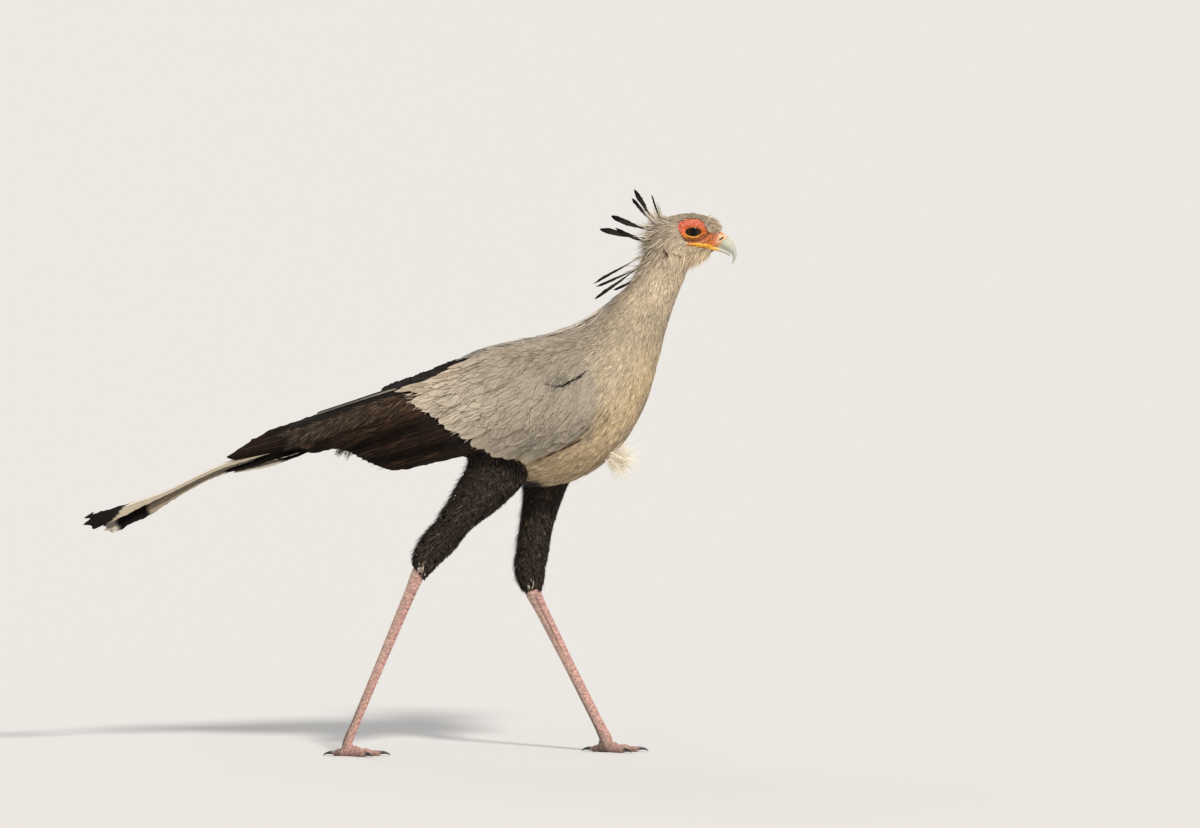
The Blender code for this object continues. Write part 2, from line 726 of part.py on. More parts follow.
def make_tarsus(name, thigh_sections, ankle, shank, parts):
    """The bare shank, with its front scutes as raised steps."""
    top = thigh_sections[-1]
    start = (Vector((top[0][0], 0, top[0][1])) + Vector((top[1][0], 0, top[1][1]))) / 2
    start.y = top[3]
    end = Vector((ankle[0], ankle[1], ANKLE_HEIGHT))
    before = thigh_sections[-2]
    heading = start - (Vector((*before[0], 0)).xzy + Vector((*before[1], 0)).xzy) / 2
    heading.y = 0
    along = (end - start).normalized()
    start = start + heading.normalized() * GAP
    rings = []
    steps = [(k + d) / TARSUS_SCUTES for k in range(TARSUS_SCUTES) for d in (0.06, 0.94)]
    rows = [0.0] + [0.03 + 0.94 * step for step in steps] + [1.0]
    sides = 9
    for i, t in enumerate(rows):
        knob = 1 + 0.14 * math.exp(-((t / 0.07) ** 2)) + 0.16 * math.exp(-(((1 - t) / 0.06) ** 2))
        waist = at_share([(half,) for half in shank], t)[0] * knob
        raised = SCUTE_RISE if i % 2 == 1 else 0.0
        forward = Vector((along.z, 0, -along.x)).normalized() * -1
        if forward.x < 0:
            forward = -forward
        if i == 0:
            forward = (Vector((*top[1], 0)).xzy - Vector((*top[0], 0)).xzy).normalized()
        if i == len(rows) - 1:
            forward = Vector((1, 0, 0))
        centre = start + (end - start) * t
        ring = []
        for k in range(sides):
            a = 2 * math.pi * k / sides
            front = max(0.0, math.cos(a))
            reach = waist + raised * (1 if front > 0.3 else 0)
            ring.append(centre + forward * reach * math.cos(a) + Vector((0, 0.82 * reach * math.sin(a), 0)))
        rings.append(ring)
    return loft_rings(name, rings, parts, PINK)


def toe_path(ankle, side, toe):
    """A toe's knuckle points from the ankle out to the claw, seen from above."""
    _, angle, length, _ = toe
    turn = math.radians(angle) * side
    heading = Vector((math.cos(turn), math.sin(turn), 0))
    origin = Vector((ankle[0], ankle[1], 0))
    return origin, heading, length


def make_foot(name, ankle, side, parts):
    """The ankle knob and four toes, each flat underneath where it bears on the ground."""
    knob_rings = []
    for z, wide in ((ANKLE_HEIGHT - GAP, 11.8), (18, 13), (11, 13.5), (5, 12), (1.5, 9)):
        ring = [
            Vector((ankle[0] + 1.05 * wide * math.cos(a), ankle[1] + 0.9 * wide * math.sin(a), z))
            for a in (2 * math.pi * k / 14 for k in range(14))
        ]
        knob_rings.append(ring)
    foot = loft_rings(name, knob_rings, parts, PINK)
    toes = []
    for toe in TOES:
        origin, heading, length = toe_path(ankle, side, toe)
        across = Vector((-heading.y, heading.x, 0))
        rings = []
        steps = 7
        for i in range(steps):
            t = i / (steps - 1)
            pad = 1 + (0.1 if i % 2 else -0.04)
            half = TOE_HALF * (1.12 - 0.34 * t) * pad
            height = half * (2.5 - 0.9 * t)
            ring = []
            for k in range(8):
                a = 2 * math.pi * (k + 0.5) / 8
                z = max(0.0, height * 0.5 + height * 0.62 * math.sin(a))
                ring.append(origin + heading * length * t + across * half * math.cos(a) + Vector((0, 0, z)))
            rings.append(ring)
        toes.append(loft_rings(name + "_" + toe[0], rings, parts))
    fuse(foot, toes)
    return foot


def make_claws(name, ankle, side, parts):
    """A curved claw at each toe's end, its tip just clear of the ground."""
    for toe in TOES:
        origin, heading, length = toe_path(ankle, side, toe)
        across = Vector((-heading.y, heading.x, 0))
        reach = toe[3]
        rings = []
        steps = 5
        for i in range(steps):
            t = i / (steps - 1)
            bend = t * math.radians(62)
            ahead = reach * math.sin(bend) / math.sin(math.radians(62))
            drop = 4.6 * (1 - math.cos(bend)) / (1 - math.cos(math.radians(62)))
            centre = origin + heading * (length + GAP + ahead) + Vector((0, 0, 5.6 - drop + 0.9 * math.sin(math.pi * t)))
            half = 3.6 * (1 - t) ** 0.8 + 0.3
            normal = Vector((0, 0, 1)) * math.cos(bend) + heading * math.sin(bend)
            ring = [
                centre + across * half * 0.8 * math.cos(a) + normal * half * math.sin(a)
                for a in (2 * math.pi * k / 6 for k in range(6))
            ]
            rings.append(ring)
        loft_rings(name + "_" + toe[0], rings, parts, CLAW)


def main():
    clear_scene()
    parts = bpy.data.collections.new("secretary_bird")
    cutters = bpy.data.collections.new("cutters")
    for group in (parts, cutters):
        bpy.context.scene.collection.children.link(group)

    torso, torso_room = make_torso(parts, cutters)
    neck = make_neck(parts)
    head, head_room = make_head(parts, cutters)
    upper, upper_room = make_bill("bill_upper", BILL_UPPER_SECTIONS, parts, cutters)
    lower, lower_room = make_bill("bill_lower", BILL_LOWER_SECTIONS, parts, cutters)
    fuse(neck, [crest_vane(f"neck_crest_{i}", spec, parts) for i, spec in enumerate(CREST_LOWER)])
    cut(neck, head_room)
    cut(lower, upper_room)
    fuse(head, [crest_vane(f"head_crest_{i}", spec, parts) for i, spec in enumerate(CREST_UPPER)])
    for word, side in (("left", 1), ("right", -1)):
        make_eye(word, side, head, parts, cutters)
        cut(head, mouth_groove("mouth_" + word, side, cutters))
        cut(upper, nostril("nostril_" + word, side, cutters))
    cut(head, upper_room, lower_room)

    for word, side, sections, ankle, shank in (
        ("right", -1, THIGH_RIGHT, ANKLE_RIGHT, SHANK_RIGHT),
        ("left", 1, THIGH_LEFT, ANKLE_LEFT, SHANK_LEFT),
    ):
        thigh, thigh_room = make_thigh("thigh_" + word, sections, parts, cutters)
        cut(thigh, torso_room)
        wing = make_wing("wing_" + word, side, parts)
        cut(wing, torso_room, thigh_room, solver="MANIFOLD")
        make_tarsus("tarsus_" + word, sections, ankle, shank, parts)
        make_foot("foot_" + word, ankle, side, parts)
        make_claws("claw_" + word, ankle, side, parts)
    make_tail(parts)
    for cutter in cutters.objects:
        cutter.hide_render = True
        cutter.display_type = "WIRE"


main()
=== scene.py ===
"""Looks for a life-size secretary bird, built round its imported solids.

Shapes are worked out in millimetres, with +X to the bill, +Y to the bird's left and +Z up. They become
metres when a mesh is made.
"""

import math

import bpy
import numpy as np
from bpy.props import FloatProperty, FloatVectorProperty, IntProperty, PointerProperty
from bpy.types import Operator, Panel, PropertyGroup
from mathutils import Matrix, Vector


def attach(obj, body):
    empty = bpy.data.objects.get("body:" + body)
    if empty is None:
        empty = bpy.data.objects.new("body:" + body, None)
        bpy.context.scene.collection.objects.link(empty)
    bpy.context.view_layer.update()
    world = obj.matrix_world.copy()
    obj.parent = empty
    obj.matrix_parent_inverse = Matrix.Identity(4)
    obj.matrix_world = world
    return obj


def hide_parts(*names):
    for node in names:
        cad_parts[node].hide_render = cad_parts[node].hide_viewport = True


bl_info = {
    "name": "Secretary bird looks",
    "version": (1, 0, 0),
    "blender": (4, 5, 0),
    "location": "View3D > Sidebar > Bird",
    "description": "Skin, scales, horn and feathers for the packed solids of a life-size secretary bird",
    "category": "Object",
}

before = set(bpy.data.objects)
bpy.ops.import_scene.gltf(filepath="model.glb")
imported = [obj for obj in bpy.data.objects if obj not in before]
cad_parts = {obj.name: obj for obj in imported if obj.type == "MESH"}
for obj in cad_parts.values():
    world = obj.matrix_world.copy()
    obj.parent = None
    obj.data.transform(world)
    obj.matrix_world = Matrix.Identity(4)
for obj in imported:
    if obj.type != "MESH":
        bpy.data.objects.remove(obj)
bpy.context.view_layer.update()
MM = 0.001
SIDES = {"left": 1, "right": -1}
AHEAD, LEFT, UP = np.eye(3)
SEEDS = 90

# Trunk sections from rump to brow: back or top (x, z), front or bottom (x, z), half width, y.
TRUNK_ROWS = (
    (-11, 633, -15, 583, 26, 0),
    (50, 672, 36, 541, 50, 0),
    (111, 706, 104, 519, 65, 0),
    (172, 721, 169, 480, 73, 0),
    (225, 731, 242, 472, 75, 0),
    (270, 744, 312, 495, 71, 0),
    (309, 762, 368, 544, 62, 0),
    (337, 784, 409, 616, 51, 0),
    (358, 803, 431, 691, 41, 0),
    (379, 820, 444, 744, 35, 0),
    (394, 842, 459, 791, 31.5, 0),
    (404, 866, 475, 831, 29, 0),
    (412, 893, 487, 866, 26, 0),
    (416, 909, 491, 866, 26, 0),
    (425, 926, 495, 867, 26.5, 0),
    (441, 938, 500, 869, 27, 0),
    (458, 944.5, 504, 870.5, 26.5, 0),
    (476, 947.8, 508, 872, 25.5, 0),
    (492, 948.5, 512, 874, 24, 0),
    (507, 946, 517, 876.5, 21.5, 0),
    (521, 940.5, 524, 880, 18.2, 0),
    (532, 932.5, 531, 885, 14.4, 0),
    (538, 924, 536, 889, 11.5, 0),
)


def section(number):
    """The share of the trunk's whole way at a section, counted from 0 at the rump."""
    return number / (len(TRUNK_ROWS) - 1)


NECK_TOP, NECK_FOOT = section(12), section(8)
THIGH_ROWS = {
    "right": (
        (88, 545, 212, 530, 27, -38),
        (100, 515, 199, 482, 27, -40),
        (81, 475, 155, 436, 25, -43),
        (47, 418, 105, 398, 21, -44),
        (16, 379, 76, 362, 18, -43),
        (3.5, 353, 48, 335, 16, -42),
        (2.6, 335, 23, 309, 11, -41),
    ),
    "left": (
        (164, 525, 300, 525, 27, 38),
        (190, 485, 282, 485, 27, 40),
        (196, 452, 269, 458, 25, 42),
        (191, 405, 248, 398, 21, 42),
        (183, 350.5, 239, 347, 19, 40),
        (180, 324, 234, 321, 17, 38),
        (186, 298, 231, 294, 13, 37),
        (199, 278, 226.5, 281, 10, 36),
    ),
}
TAIL_LINE = ((-20, 614), (-140, 570), (-265, 521), (-328, 497), (-410, 459), (-491, 425), (-572, 394))

# The folded wing's side: x, upper edge (y, z), widest point (y, z), lower edge (y, z).
WING_STATIONS = (
    (-323, 5, 527, 8, 524, 8, 520),
    (-265, 6, 551, 19, 543, 17, 529),
    (-213, 7, 580, 30, 562, 25, 535),
    (-143, 7.5, 608, 42, 579, 32, 533),
    (-73, 8, 635, 54, 588, 41, 513),
    (-3, 9, 665, 67, 600, 53, 504),
    (50, 11, 688, 78, 612, 65, 514),
    (120, 18, 710, 90, 618, 78, 530),
    (190, 28, 722, 95, 620, 80, 516),
    (260, 38, 727, 91, 624, 72, 540),
    (304, 50, 702, 82, 620, 64, 562),
    (337, 54, 640, 66, 606, 58, 582),
)

EYE = np.array([493.0, 16.2, 917.5])
EYE_RADIUS = 15.0
EYE_FLAT = 0.84
EYE_OPENING = (13.4, 8.4)

UPPER_BILL_ROWS = (
    (520, 921, 520, 896.5, 12.5, 0),
    (540, 917, 540, 889.5, 11.5, 0),
    (551, 910.5, 549, 885.5, 10, 0),
    (560, 902.5, 556, 881.5, 8, 0),
    (566.3, 892, 560, 878, 6, 0),
    (569, 880, 561.8, 873, 4, 0),
    (567.8, 869.5, 561.8, 867, 2.2, 0),
    (560.8, 859, 559.8, 858.6, 0.6, 0),
)
LOWER_BILL_ROWS = (
    (502, 896, 500, 887, 13.5, 0),
    (520, 894.5, 518, 884.5, 12, 0),
    (538, 889.5, 536, 882, 9.5, 0),
    (549, 885, 547, 878.5, 6.5, 0),
    (559, 879, 557.5, 873.8, 3, 0),
)
NOSTRIL = (541.8, 904.6)
NOSTRIL_HALF = (5.4, 1.5)
NOSTRIL_TILT = math.radians(37)

# A crest feather: root x, y, z, tip x, y, z, widest half width, roll from flat.
CREST = (
    (425, -4, 937, 390, -9, 991, 3.9, 80),
    (423, -10, 934, 386, -18, 976, 3.1, 70),
    (436, 5, 938, 420.5, 8, 981, 1.9, 55),
    (416, 1, 922, 350, 3, 944, 5.0, 85),
    (419, -8, 908, 330, -15, 922, 4.6, 80),
    (419, 9, 898, 357, 17, 922, 3.0, 65),
    (407.4, -8, 877, 319, -15, 826.4, 1.9, 75),
    (396, 7, 853, 323, 14, 819.4, 1.7, 70),
    (402, -3, 858, 321, -7, 799.2, 2.8, 80),
    (394, 10, 834, 353, 16, 813.4, 1.6, 60),
)

# The yellow band from the corner of the mouth: x, middle z, half height.
GAPE = np.array(
    [(478, 894.6, 1.5), (490, 894.8, 2.8), (502, 894.2, 3.9), (518, 891.4, 4.4), (528, 888.4, 3.9),
     (541, 884, 2.2)]
)

ANKLES = {"right": (-112, -37), "left": (340, 36)}
# A shank's half depth at the top, the middle and the ankle.
SHANKS = {"right": (11.0, 8.6, 7.6), "left": (12.0, 9.6, 9.6)}
ANKLE_HEIGHT = 24
TOE_HALF = 6.2
# Toe: name, angle outward from straight ahead, length to the claw, claw length.
TOES = (("middle", 2, 56, 19), ("outer", 38, 40, 16), ("inner", -36, 38, 18), ("hind", 172, 24, 19))

# Outlines: the way from root to tip, and the share of the full width there.
TUFT = np.array([(0, 0.55), (0.35, 1.0), (0.72, 0.8), (1, 0.06)])
WISP = np.array([(0, 0.7), (0.3, 1.0), (0.65, 0.7), (1, 0.08)])
BLADE = np.array([(0, 0.5), (0.3, 0.86), (0.6, 1.0), (0.8, 0.96), (0.9, 0.78), (0.965, 0.48), (1, 0.12)])
LEAF = np.array([(0, 0.5), (0.3, 0.88), (0.58, 1.0), (0.78, 0.84), (0.92, 0.48), (1, 0.08)])

# The back's outline from rump to nape, and the line between pale coverts and black inner feathers.
BACK_LINE = np.array(
    [(-50, 641), (-2, 665), (50, 688), (109, 707), (172, 721), (225, 731), (270, 744), (309, 762), (337, 784)]
)
BLACK_LINE = np.array([(-60, 626), (-33, 637), (49, 663), (100, 690), (118, 712), (140, 760)])


def smooth_curve(keys, t):
    """Values at t, from 0 to 1, on a smooth curve through evenly spaced keys."""
    keys = np.asarray(keys, float)
    place = np.clip(np.asarray(t, float), 0, 1) * (len(keys) - 1)
    low = np.minimum(place.astype(int), len(keys) - 2)
    f = (place - low)[..., None]
    padded = np.concatenate([keys[:1], keys, keys[-1:]])
    p, q, r, s = (padded[low + k] for k in range(4))
    return 0.5 * (2 * q + (r - p) * f + (2 * p - 5 * q + 4 * r - s) * f**2 + (3 * q - p - 3 * r + s) * f**3)


def unit(v):
    return v / np.maximum(np.linalg.norm(v, axis=-1, keepdims=True), 1e-9)


def ramp(x, low, high):
    """0 at low, 1 at high, smooth between."""
    t = np.clip((x - low) / (high - low), 0, 1)
    return t * t * (3 - 2 * t)


def blend(a, b, share):
    return a + (b - a) * np.asarray(share)[..., None]


def hill(*shares):
    """1 where every share is 0, and falling softly to nothing beyond 2."""
    return np.exp(-sum(share**2 for share in shares))


def circle(count):
    """Angles evenly spaced round a full turn."""
    return np.linspace(0, 2 * math.pi, count, endpoint=False)


def back_line(x):
    return np.interp(x, *BACK_LINE.T)


def black_line(x):
    return np.interp(x, *BLACK_LINE.T)


def tube_places(u, v):
    """Places on a tube's own unwrap."""
    return np.stack([0.01 + 0.98 * np.clip(u, 0, 1), 0.01 + 0.98 * ((v / (2 * math.pi)) % 1)], -1)


def side_places(x, z):
    """Places on the flank's own unwrap."""
    return np.stack([0.01 + 0.98 * np.clip((x + 340) / 720, 0, 1),
                     0.01 + 0.98 * np.clip((z - 440) / 420, 0, 1)], -1)


def as_surface(at, steps, places):
    """Gives a surface the steps for measuring its slopes, and its own unwrap."""
    at.steps, at.places = steps, places
    return at


def tube(rows):
    """A surface through oval sections: u runs along them, v turns from the back (0) to the front (pi)."""
    rows = np.asarray(rows, float)

    def at(u, v, height=0.0):
        row = smooth_curve(rows, u)
        run = (row[..., 0:2] - row[..., 2:4]) / 2
        reach = np.maximum(np.linalg.norm(run, axis=-1), 1e-6)
        up = run / reach[..., None]
        centre = (row[..., 0:2] + row[..., 2:4]) / 2
        lift = (reach + height) * np.cos(v)
        y = row[..., 5] + (row[..., 4] + height) * np.sin(v)
        return np.stack([centre[..., 0] + up[..., 0] * lift, y, centre[..., 1] + up[..., 1] * lift], -1)

    return as_surface(at, (0.002, 0.01), tube_places)


trunk = tube(TRUNK_ROWS)
thighs = {word: tube(rows) for word, rows in THIGH_ROWS.items()}
WING_TABLE = smooth_curve(WING_STATIONS, np.linspace(0, 1, 177))
WING_REAR, WING_FRONT = WING_STATIONS[0][0], WING_STATIONS[-1][0]


def wing_row(x, columns=range(1, 7)):
    return [np.interp(x, WING_TABLE[:, 0], WING_TABLE[:, k]) for k in columns]


def wing_edges(x):
    """The heights of the folded wing's upper and lower edge at x."""
    return wing_row(x, (2, 6))


def wing_reach(x, z):
    """How far the folded wing's face stands out at x and z, and its outward way in y and z."""
    top_y, top_z, wide_y, wide_z, low_y, low_z = wing_row(x)
    pull_y, pull_z = 2 * wide_y - (top_y + low_y) / 2, 2 * wide_z - (top_z + low_z) / 2
    inside = np.clip(z, low_z, top_z)
    a, b, c = top_z - 2 * pull_z + low_z, 2 * (pull_z - top_z), top_z - inside
    flat = np.abs(a) < 1e-6
    root = np.sqrt(np.maximum(0.0, b * b - 4 * a * c))
    v = np.where(flat, -c / b, (-b - root) / np.where(flat, 1, 2 * a))
    v = np.clip(v, 0, 1)
    y = (1 - v) ** 2 * top_y + 2 * v * (1 - v) * pull_y + v**2 * low_y
    along_y = 2 * (1 - v) * (pull_y - top_y) + 2 * v * (low_y - pull_y)
    along_z = 2 * (1 - v) * (pull_z - top_z) + 2 * v * (low_z - pull_z)
    y = y + np.where(z < low_z, (z - low_z) * along_y / along_z, 0)
    out = unit(np.stack([-along_z, along_y], -1))
    return y, out


def wing_face(side):
    """The folded wing's face as a surface in x and z."""

    def at(x, z, height=0.0):
        x = np.clip(x, WING_REAR, WING_FRONT)
        y, out = wing_reach(x, z)
        y = np.maximum(y + out[..., 0] * height, 0.4)
        return np.stack([x + 0 * y, side * y, z + out[..., 1] * height], -1)

    return as_surface(at, (1.0, 1.0), side_places)


MAP_X, MAP_Z, MAP_STEP = -40, 440, 2.0
MAP_SHAPE = (260, 260)


def trunk_reach_map():
    """How far the trunk stands out to the side, on a grid of x and z."""
    uu, vv = np.meshgrid(np.linspace(0, NECK_TOP, 620), np.linspace(0.02, math.pi - 0.02, 300), indexing="ij")
    points = trunk(uu, vv).reshape(-1, 3)
    reach = np.full(MAP_SHAPE, -60.0)
    ix = np.clip(((points[:, 0] - MAP_X) / MAP_STEP).round().astype(int), 0, MAP_SHAPE[0] - 1)
    iz = np.clip(((points[:, 2] - MAP_Z) / MAP_STEP).round().astype(int), 0, MAP_SHAPE[1] - 1)
    np.maximum.at(reach, (ix, iz), points[:, 1])
    return reach


TRUNK_REACH = trunk_reach_map()


def trunk_reach(x, z):
    fx = np.clip((x - MAP_X) / MAP_STEP, 0, MAP_SHAPE[0] - 1.001)
    fz = np.clip((z - MAP_Z) / MAP_STEP, 0, MAP_SHAPE[1] - 1.001)
    ix, iz = fx.astype(int), fz.astype(int)
    fx, fz = fx - ix, fz - iz
    low = TRUNK_REACH[ix, iz] * (1 - fx) + TRUNK_REACH[ix + 1, iz] * fx
    high = TRUNK_REACH[ix, iz + 1] * (1 - fx) + TRUNK_REACH[ix + 1, iz + 1] * fx
    return low * (1 - fz) + high * fz


def flank(side):
    """The wing's face and the trunk's side as one soft surface in x and z."""
    soft = 4.0

    def reach(x, z):
        wing, _ = wing_reach(np.clip(x, WING_REAR, WING_FRONT), z)
        top, _ = wing_edges(x)
        wing = wing - np.maximum(0, z - top - 2) * 1.5 - np.maximum(0, x - WING_FRONT) * 0.8
        body = trunk_reach(x, z)
        high = np.maximum(wing, body)
        return high + soft * np.log(np.exp((wing - high) / soft) + np.exp((body - high) / soft)) - 1.5

    def at(x, z, height=0.0):
        y = reach(x, z)
        slope_x = (reach(x + 3, z) - reach(x - 3, z)) / 6
        slope_z = (reach(x, z + 3) - reach(x, z - 3)) / 6
        out = unit(np.stack([-slope_x, np.ones_like(y), -slope_z], -1))
        return np.stack([x + out[..., 0] * height, side * (y + out[..., 1] * height),
                         z + out[..., 2] * height], -1)

    return as_surface(at, (3.0, 3.0), side_places)


def tail_place(x):
    """The tail's centre line at x, as x and z, with its upward way."""
    line = smooth_curve(TAIL_LINE, np.linspace(0, 1, 121))[::-1]
    z = np.interp(x, line[:, 0], line[:, 1])
    slope = (np.interp(x + 4, line[:, 0], line[:, 1]) - np.interp(x - 4, line[:, 0], line[:, 1])) / 8
    up = unit(np.stack([-slope, np.zeros_like(slope), np.ones_like(slope)], -1))
    return np.stack([x, np.zeros_like(z), z], -1), up


# Making meshes


def add_mesh(name, points, quads, tris=(), smooth=True):
    """A mesh object from millimetre points and index arrays."""
    quads = np.asarray(quads, np.int32).reshape(-1, 4)
    tris = np.asarray(tris, np.int32).reshape(-1, 3)
    points = np.asarray(points, np.float32).reshape(-1, 3) * MM
    mesh = bpy.data.meshes.new(name)
    mesh.vertices.add(len(points))
    mesh.vertices.foreach_set("co", points.ravel())
    corners = np.concatenate([quads.ravel(), tris.ravel()])
    starts = np.concatenate([np.arange(len(quads)) * 4,
                             len(quads) * 4 + np.arange(len(tris)) * 3]).astype(np.int32)
    mesh.loops.add(len(corners))
    mesh.loops.foreach_set("vertex_index", corners)
    mesh.polygons.add(len(starts))
    mesh.polygons.foreach_set("loop_start", starts)
    mesh.polygons.foreach_set("use_smooth", np.full(len(starts), smooth))
    mesh.update(calc_edges=True)
    thing = bpy.data.objects.new(name, mesh)
    bpy.context.scene.collection.objects.link(thing)
    return thing


def pull(items, key, width, kind):
    """One value or row of each item, as an array."""
    values = np.zeros(len(items) * width, kind)
    items.foreach_get(key, values)
    return values if width == 1 else values.reshape(-1, width)


def mesh_points(thing):
    return pull(thing.data.vertices, "co", 3, np.float32) / MM


def mesh_normals(thing):
    return pull(thing.data.vertices, "normal", 3, np.float32)


def set_points(thing, points):
    thing.data.vertices.foreach_set("co", (np.asarray(points, np.float32) * MM).ravel())
    thing.data.update()


def set_layer(thing, name, kind, domain, key, values):
    layer = thing.data.attributes.new(name, kind, domain)
    layer.data.foreach_set(key, values.ravel())


def set_tint(thing, colours):
    values = np.ones((len(colours), 4), np.float32)
    values[:, :3] = np.clip(colours, 0, 1)
    set_layer(thing, "tint", "FLOAT_COLOR", "POINT", "color", values)


def set_lie(thing, values):
    """Where each point is on its feather: across (-1 to 1), along (0 to 1) and the feather's own number."""
    set_layer(thing, "lie", "FLOAT_VECTOR", "POINT", "vector", np.asarray(values, np.float32))


def set_bake_map(thing, places):
    corners = pull(thing.data.loops, "vertex_index", 1, np.int32)
    layer = thing.data.uv_layers.new(name="OFBake")
    layer.data.foreach_set("uv", np.asarray(places, np.float32)[corners].ravel())


def sharpen_rims(thing, on_top):
    """Marks the edges between upper and other faces sharp, so that each feather shades flat to its rim."""
    edges = pull(thing.data.loops, "edge_index", 1, np.int32)
    upper = np.repeat(on_top, pull(thing.data.polygons, "loop_total", 1, np.int32))
    count = len(thing.data.edges)
    on_upper, on_other = (np.bincount(edges[faces], minlength=count) > 0 for faces in (upper, ~upper))
    sharp = on_upper & on_other
    set_layer(thing, "sharp_edge", "BOOLEAN", "EDGE", "value", sharp)


def finish_piece(thing, material, slot, *nodes):
    thing.data.materials.append(material)
    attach(thing, "root")
    if nodes:
        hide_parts(*nodes)
    return thing


def ring_faces(rings, around):
    """Faces of a closed tube whose points run ring by ring."""
    r, k = np.meshgrid(np.arange(rings - 1), np.arange(around), indexing="ij")
    n = (k + 1) % around
    quads = np.stack([r * around + k, r * around + n, (r + 1) * around + n, (r + 1) * around + k], -1)
    quads = quads.reshape(-1, 4)
    last = (rings - 1) * around
    first_end = [(i + 1, i, 0) for i in range(1, around - 1)]
    last_end = [(last, last + i, last + i + 1) for i in range(1, around - 1)]
    return quads, first_end + last_end


def add_tube(name, points):
    """A closed tube from an array of rings."""
    return add_mesh(name, points, *ring_faces(*points.shape[:2]))


def union(thing, others):
    """Joins closed meshes into one closed mesh."""
    group = bpy.data.collections.new("join")
    bpy.context.scene.collection.children.link(group)
    for other in others:
        for owner in list(other.users_collection):
            owner.objects.unlink(other)
        group.objects.link(other)
    join = thing.modifiers.new("join", "BOOLEAN")
    join.operation = "UNION"
    join.solver = "MANIFOLD"
    join.operand_type = "COLLECTION"
    join.collection = group
    apply_modifiers(thing)
    for other in others:
        bpy.data.objects.remove(other, do_unlink=True)
    bpy.data.collections.remove(group)


def apply_modifiers(thing):
    graph = bpy.context.evaluated_depsgraph_get()
    graph.update()
    made = bpy.data.meshes.new_from_object(thing.evaluated_get(graph))
    made.materials.clear()
    old = thing.data
    thing.modifiers.clear()
    thing.data = made
    bpy.data.meshes.remove(old)
    made.name = thing.name


# Feathers


def scatter(surface, count, rng, u_range, v_range, keep=None, cells=(160, 120)):
    """Places spread evenly over part of a surface, as u and v."""
    u = np.linspace(*u_range, cells[0] + 1)
    v = np.linspace(*v_range, cells[1] + 1)
    p = surface(*np.meshgrid(u, v, indexing="ij"))
    area = np.linalg.norm(np.cross(p[1:, :-1] - p[:-1, :-1], p[:-1, 1:] - p[:-1, :-1]), axis=-1)
    if keep:
        area = area * keep((p[1:, 1:] + p[:-1, :-1]) / 2)
    chance = area.ravel() / area.sum()
    i, j = np.unravel_index(rng.choice(len(chance), count, p=chance), area.shape)
    return (
        u[0] + (u[1] - u[0]) * (i + rng.random(count)),
        v[0] + (v[1] - v[0]) * (j + rng.random(count)),
    )


def lay(surface, u, v, turn, length, half, outline, columns=3, base=0.0, rise=0.0, bend=0.0, tilt=0.0,
        droop=0.25, skew=0.0):
    """Feathers that lie on a surface: point grids (feather, along, across), with each point's outward way."""
    u, v, turn, length, half, base, rise, bend, tilt = (
        np.broadcast_to(np.asarray(a, float), np.shape(u))
        for a in (u, v, turn, length, half, base, rise, bend, tilt)
    )
    eu, ev = surface.steps
    t, share = outline[:, 0], outline[:, 1]
    heading = turn[:, None] + bend[:, None] * t

    def pace(a, b):
        ahead = np.linalg.norm(surface(a + eu, b) - surface(a - eu, b), axis=-1) / (2 * eu)
        aside = np.linalg.norm(surface(a, b + ev) - surface(a, b - ev), axis=-1) / (2 * ev)
        return np.maximum(ahead, 1e-6), np.maximum(aside, 1e-6)

    at_u, at_v = [u], [v]
    for k in range(1, len(t)):
        run = length * (t[k] - t[k - 1])
        along, aside = run * np.cos(heading[:, k]), run * np.sin(heading[:, k])
        first_u, first_v = pace(at_u[-1], at_v[-1])
        next_u, next_v = pace(at_u[-1] - along / first_u, at_v[-1] + aside / first_v)
        at_u.append(at_u[-1] - along / np.maximum(first_u, next_u))
        at_v.append(at_v[-1] + aside / np.maximum(first_v, next_v))
    at_u, at_v = np.stack(at_u, 1), np.stack(at_v, 1)
    level = base[:, None] + rise[:, None] * t
    spine = surface(at_u, at_v, level)
    out = unit(surface(at_u, at_v, level + 1.0) - spine)
    way = unit(np.gradient(spine, axis=1))
    across = unit(np.cross(out, way))
    c = np.linspace(-1, 1, columns)
    reach = half[:, None] * share
    offset = reach[..., None] * c
    height = tilt[:, None, None] * offset - droop * reach[..., None] * c**2
    points = spine[:, :, None] + across[:, :, None] * offset[..., None] + out[:, :, None] * height[..., None]
    points = points + way[:, :, None] * (skew * offset)[..., None]
    return points, np.broadcast_to(out[:, :, None], points.shape)


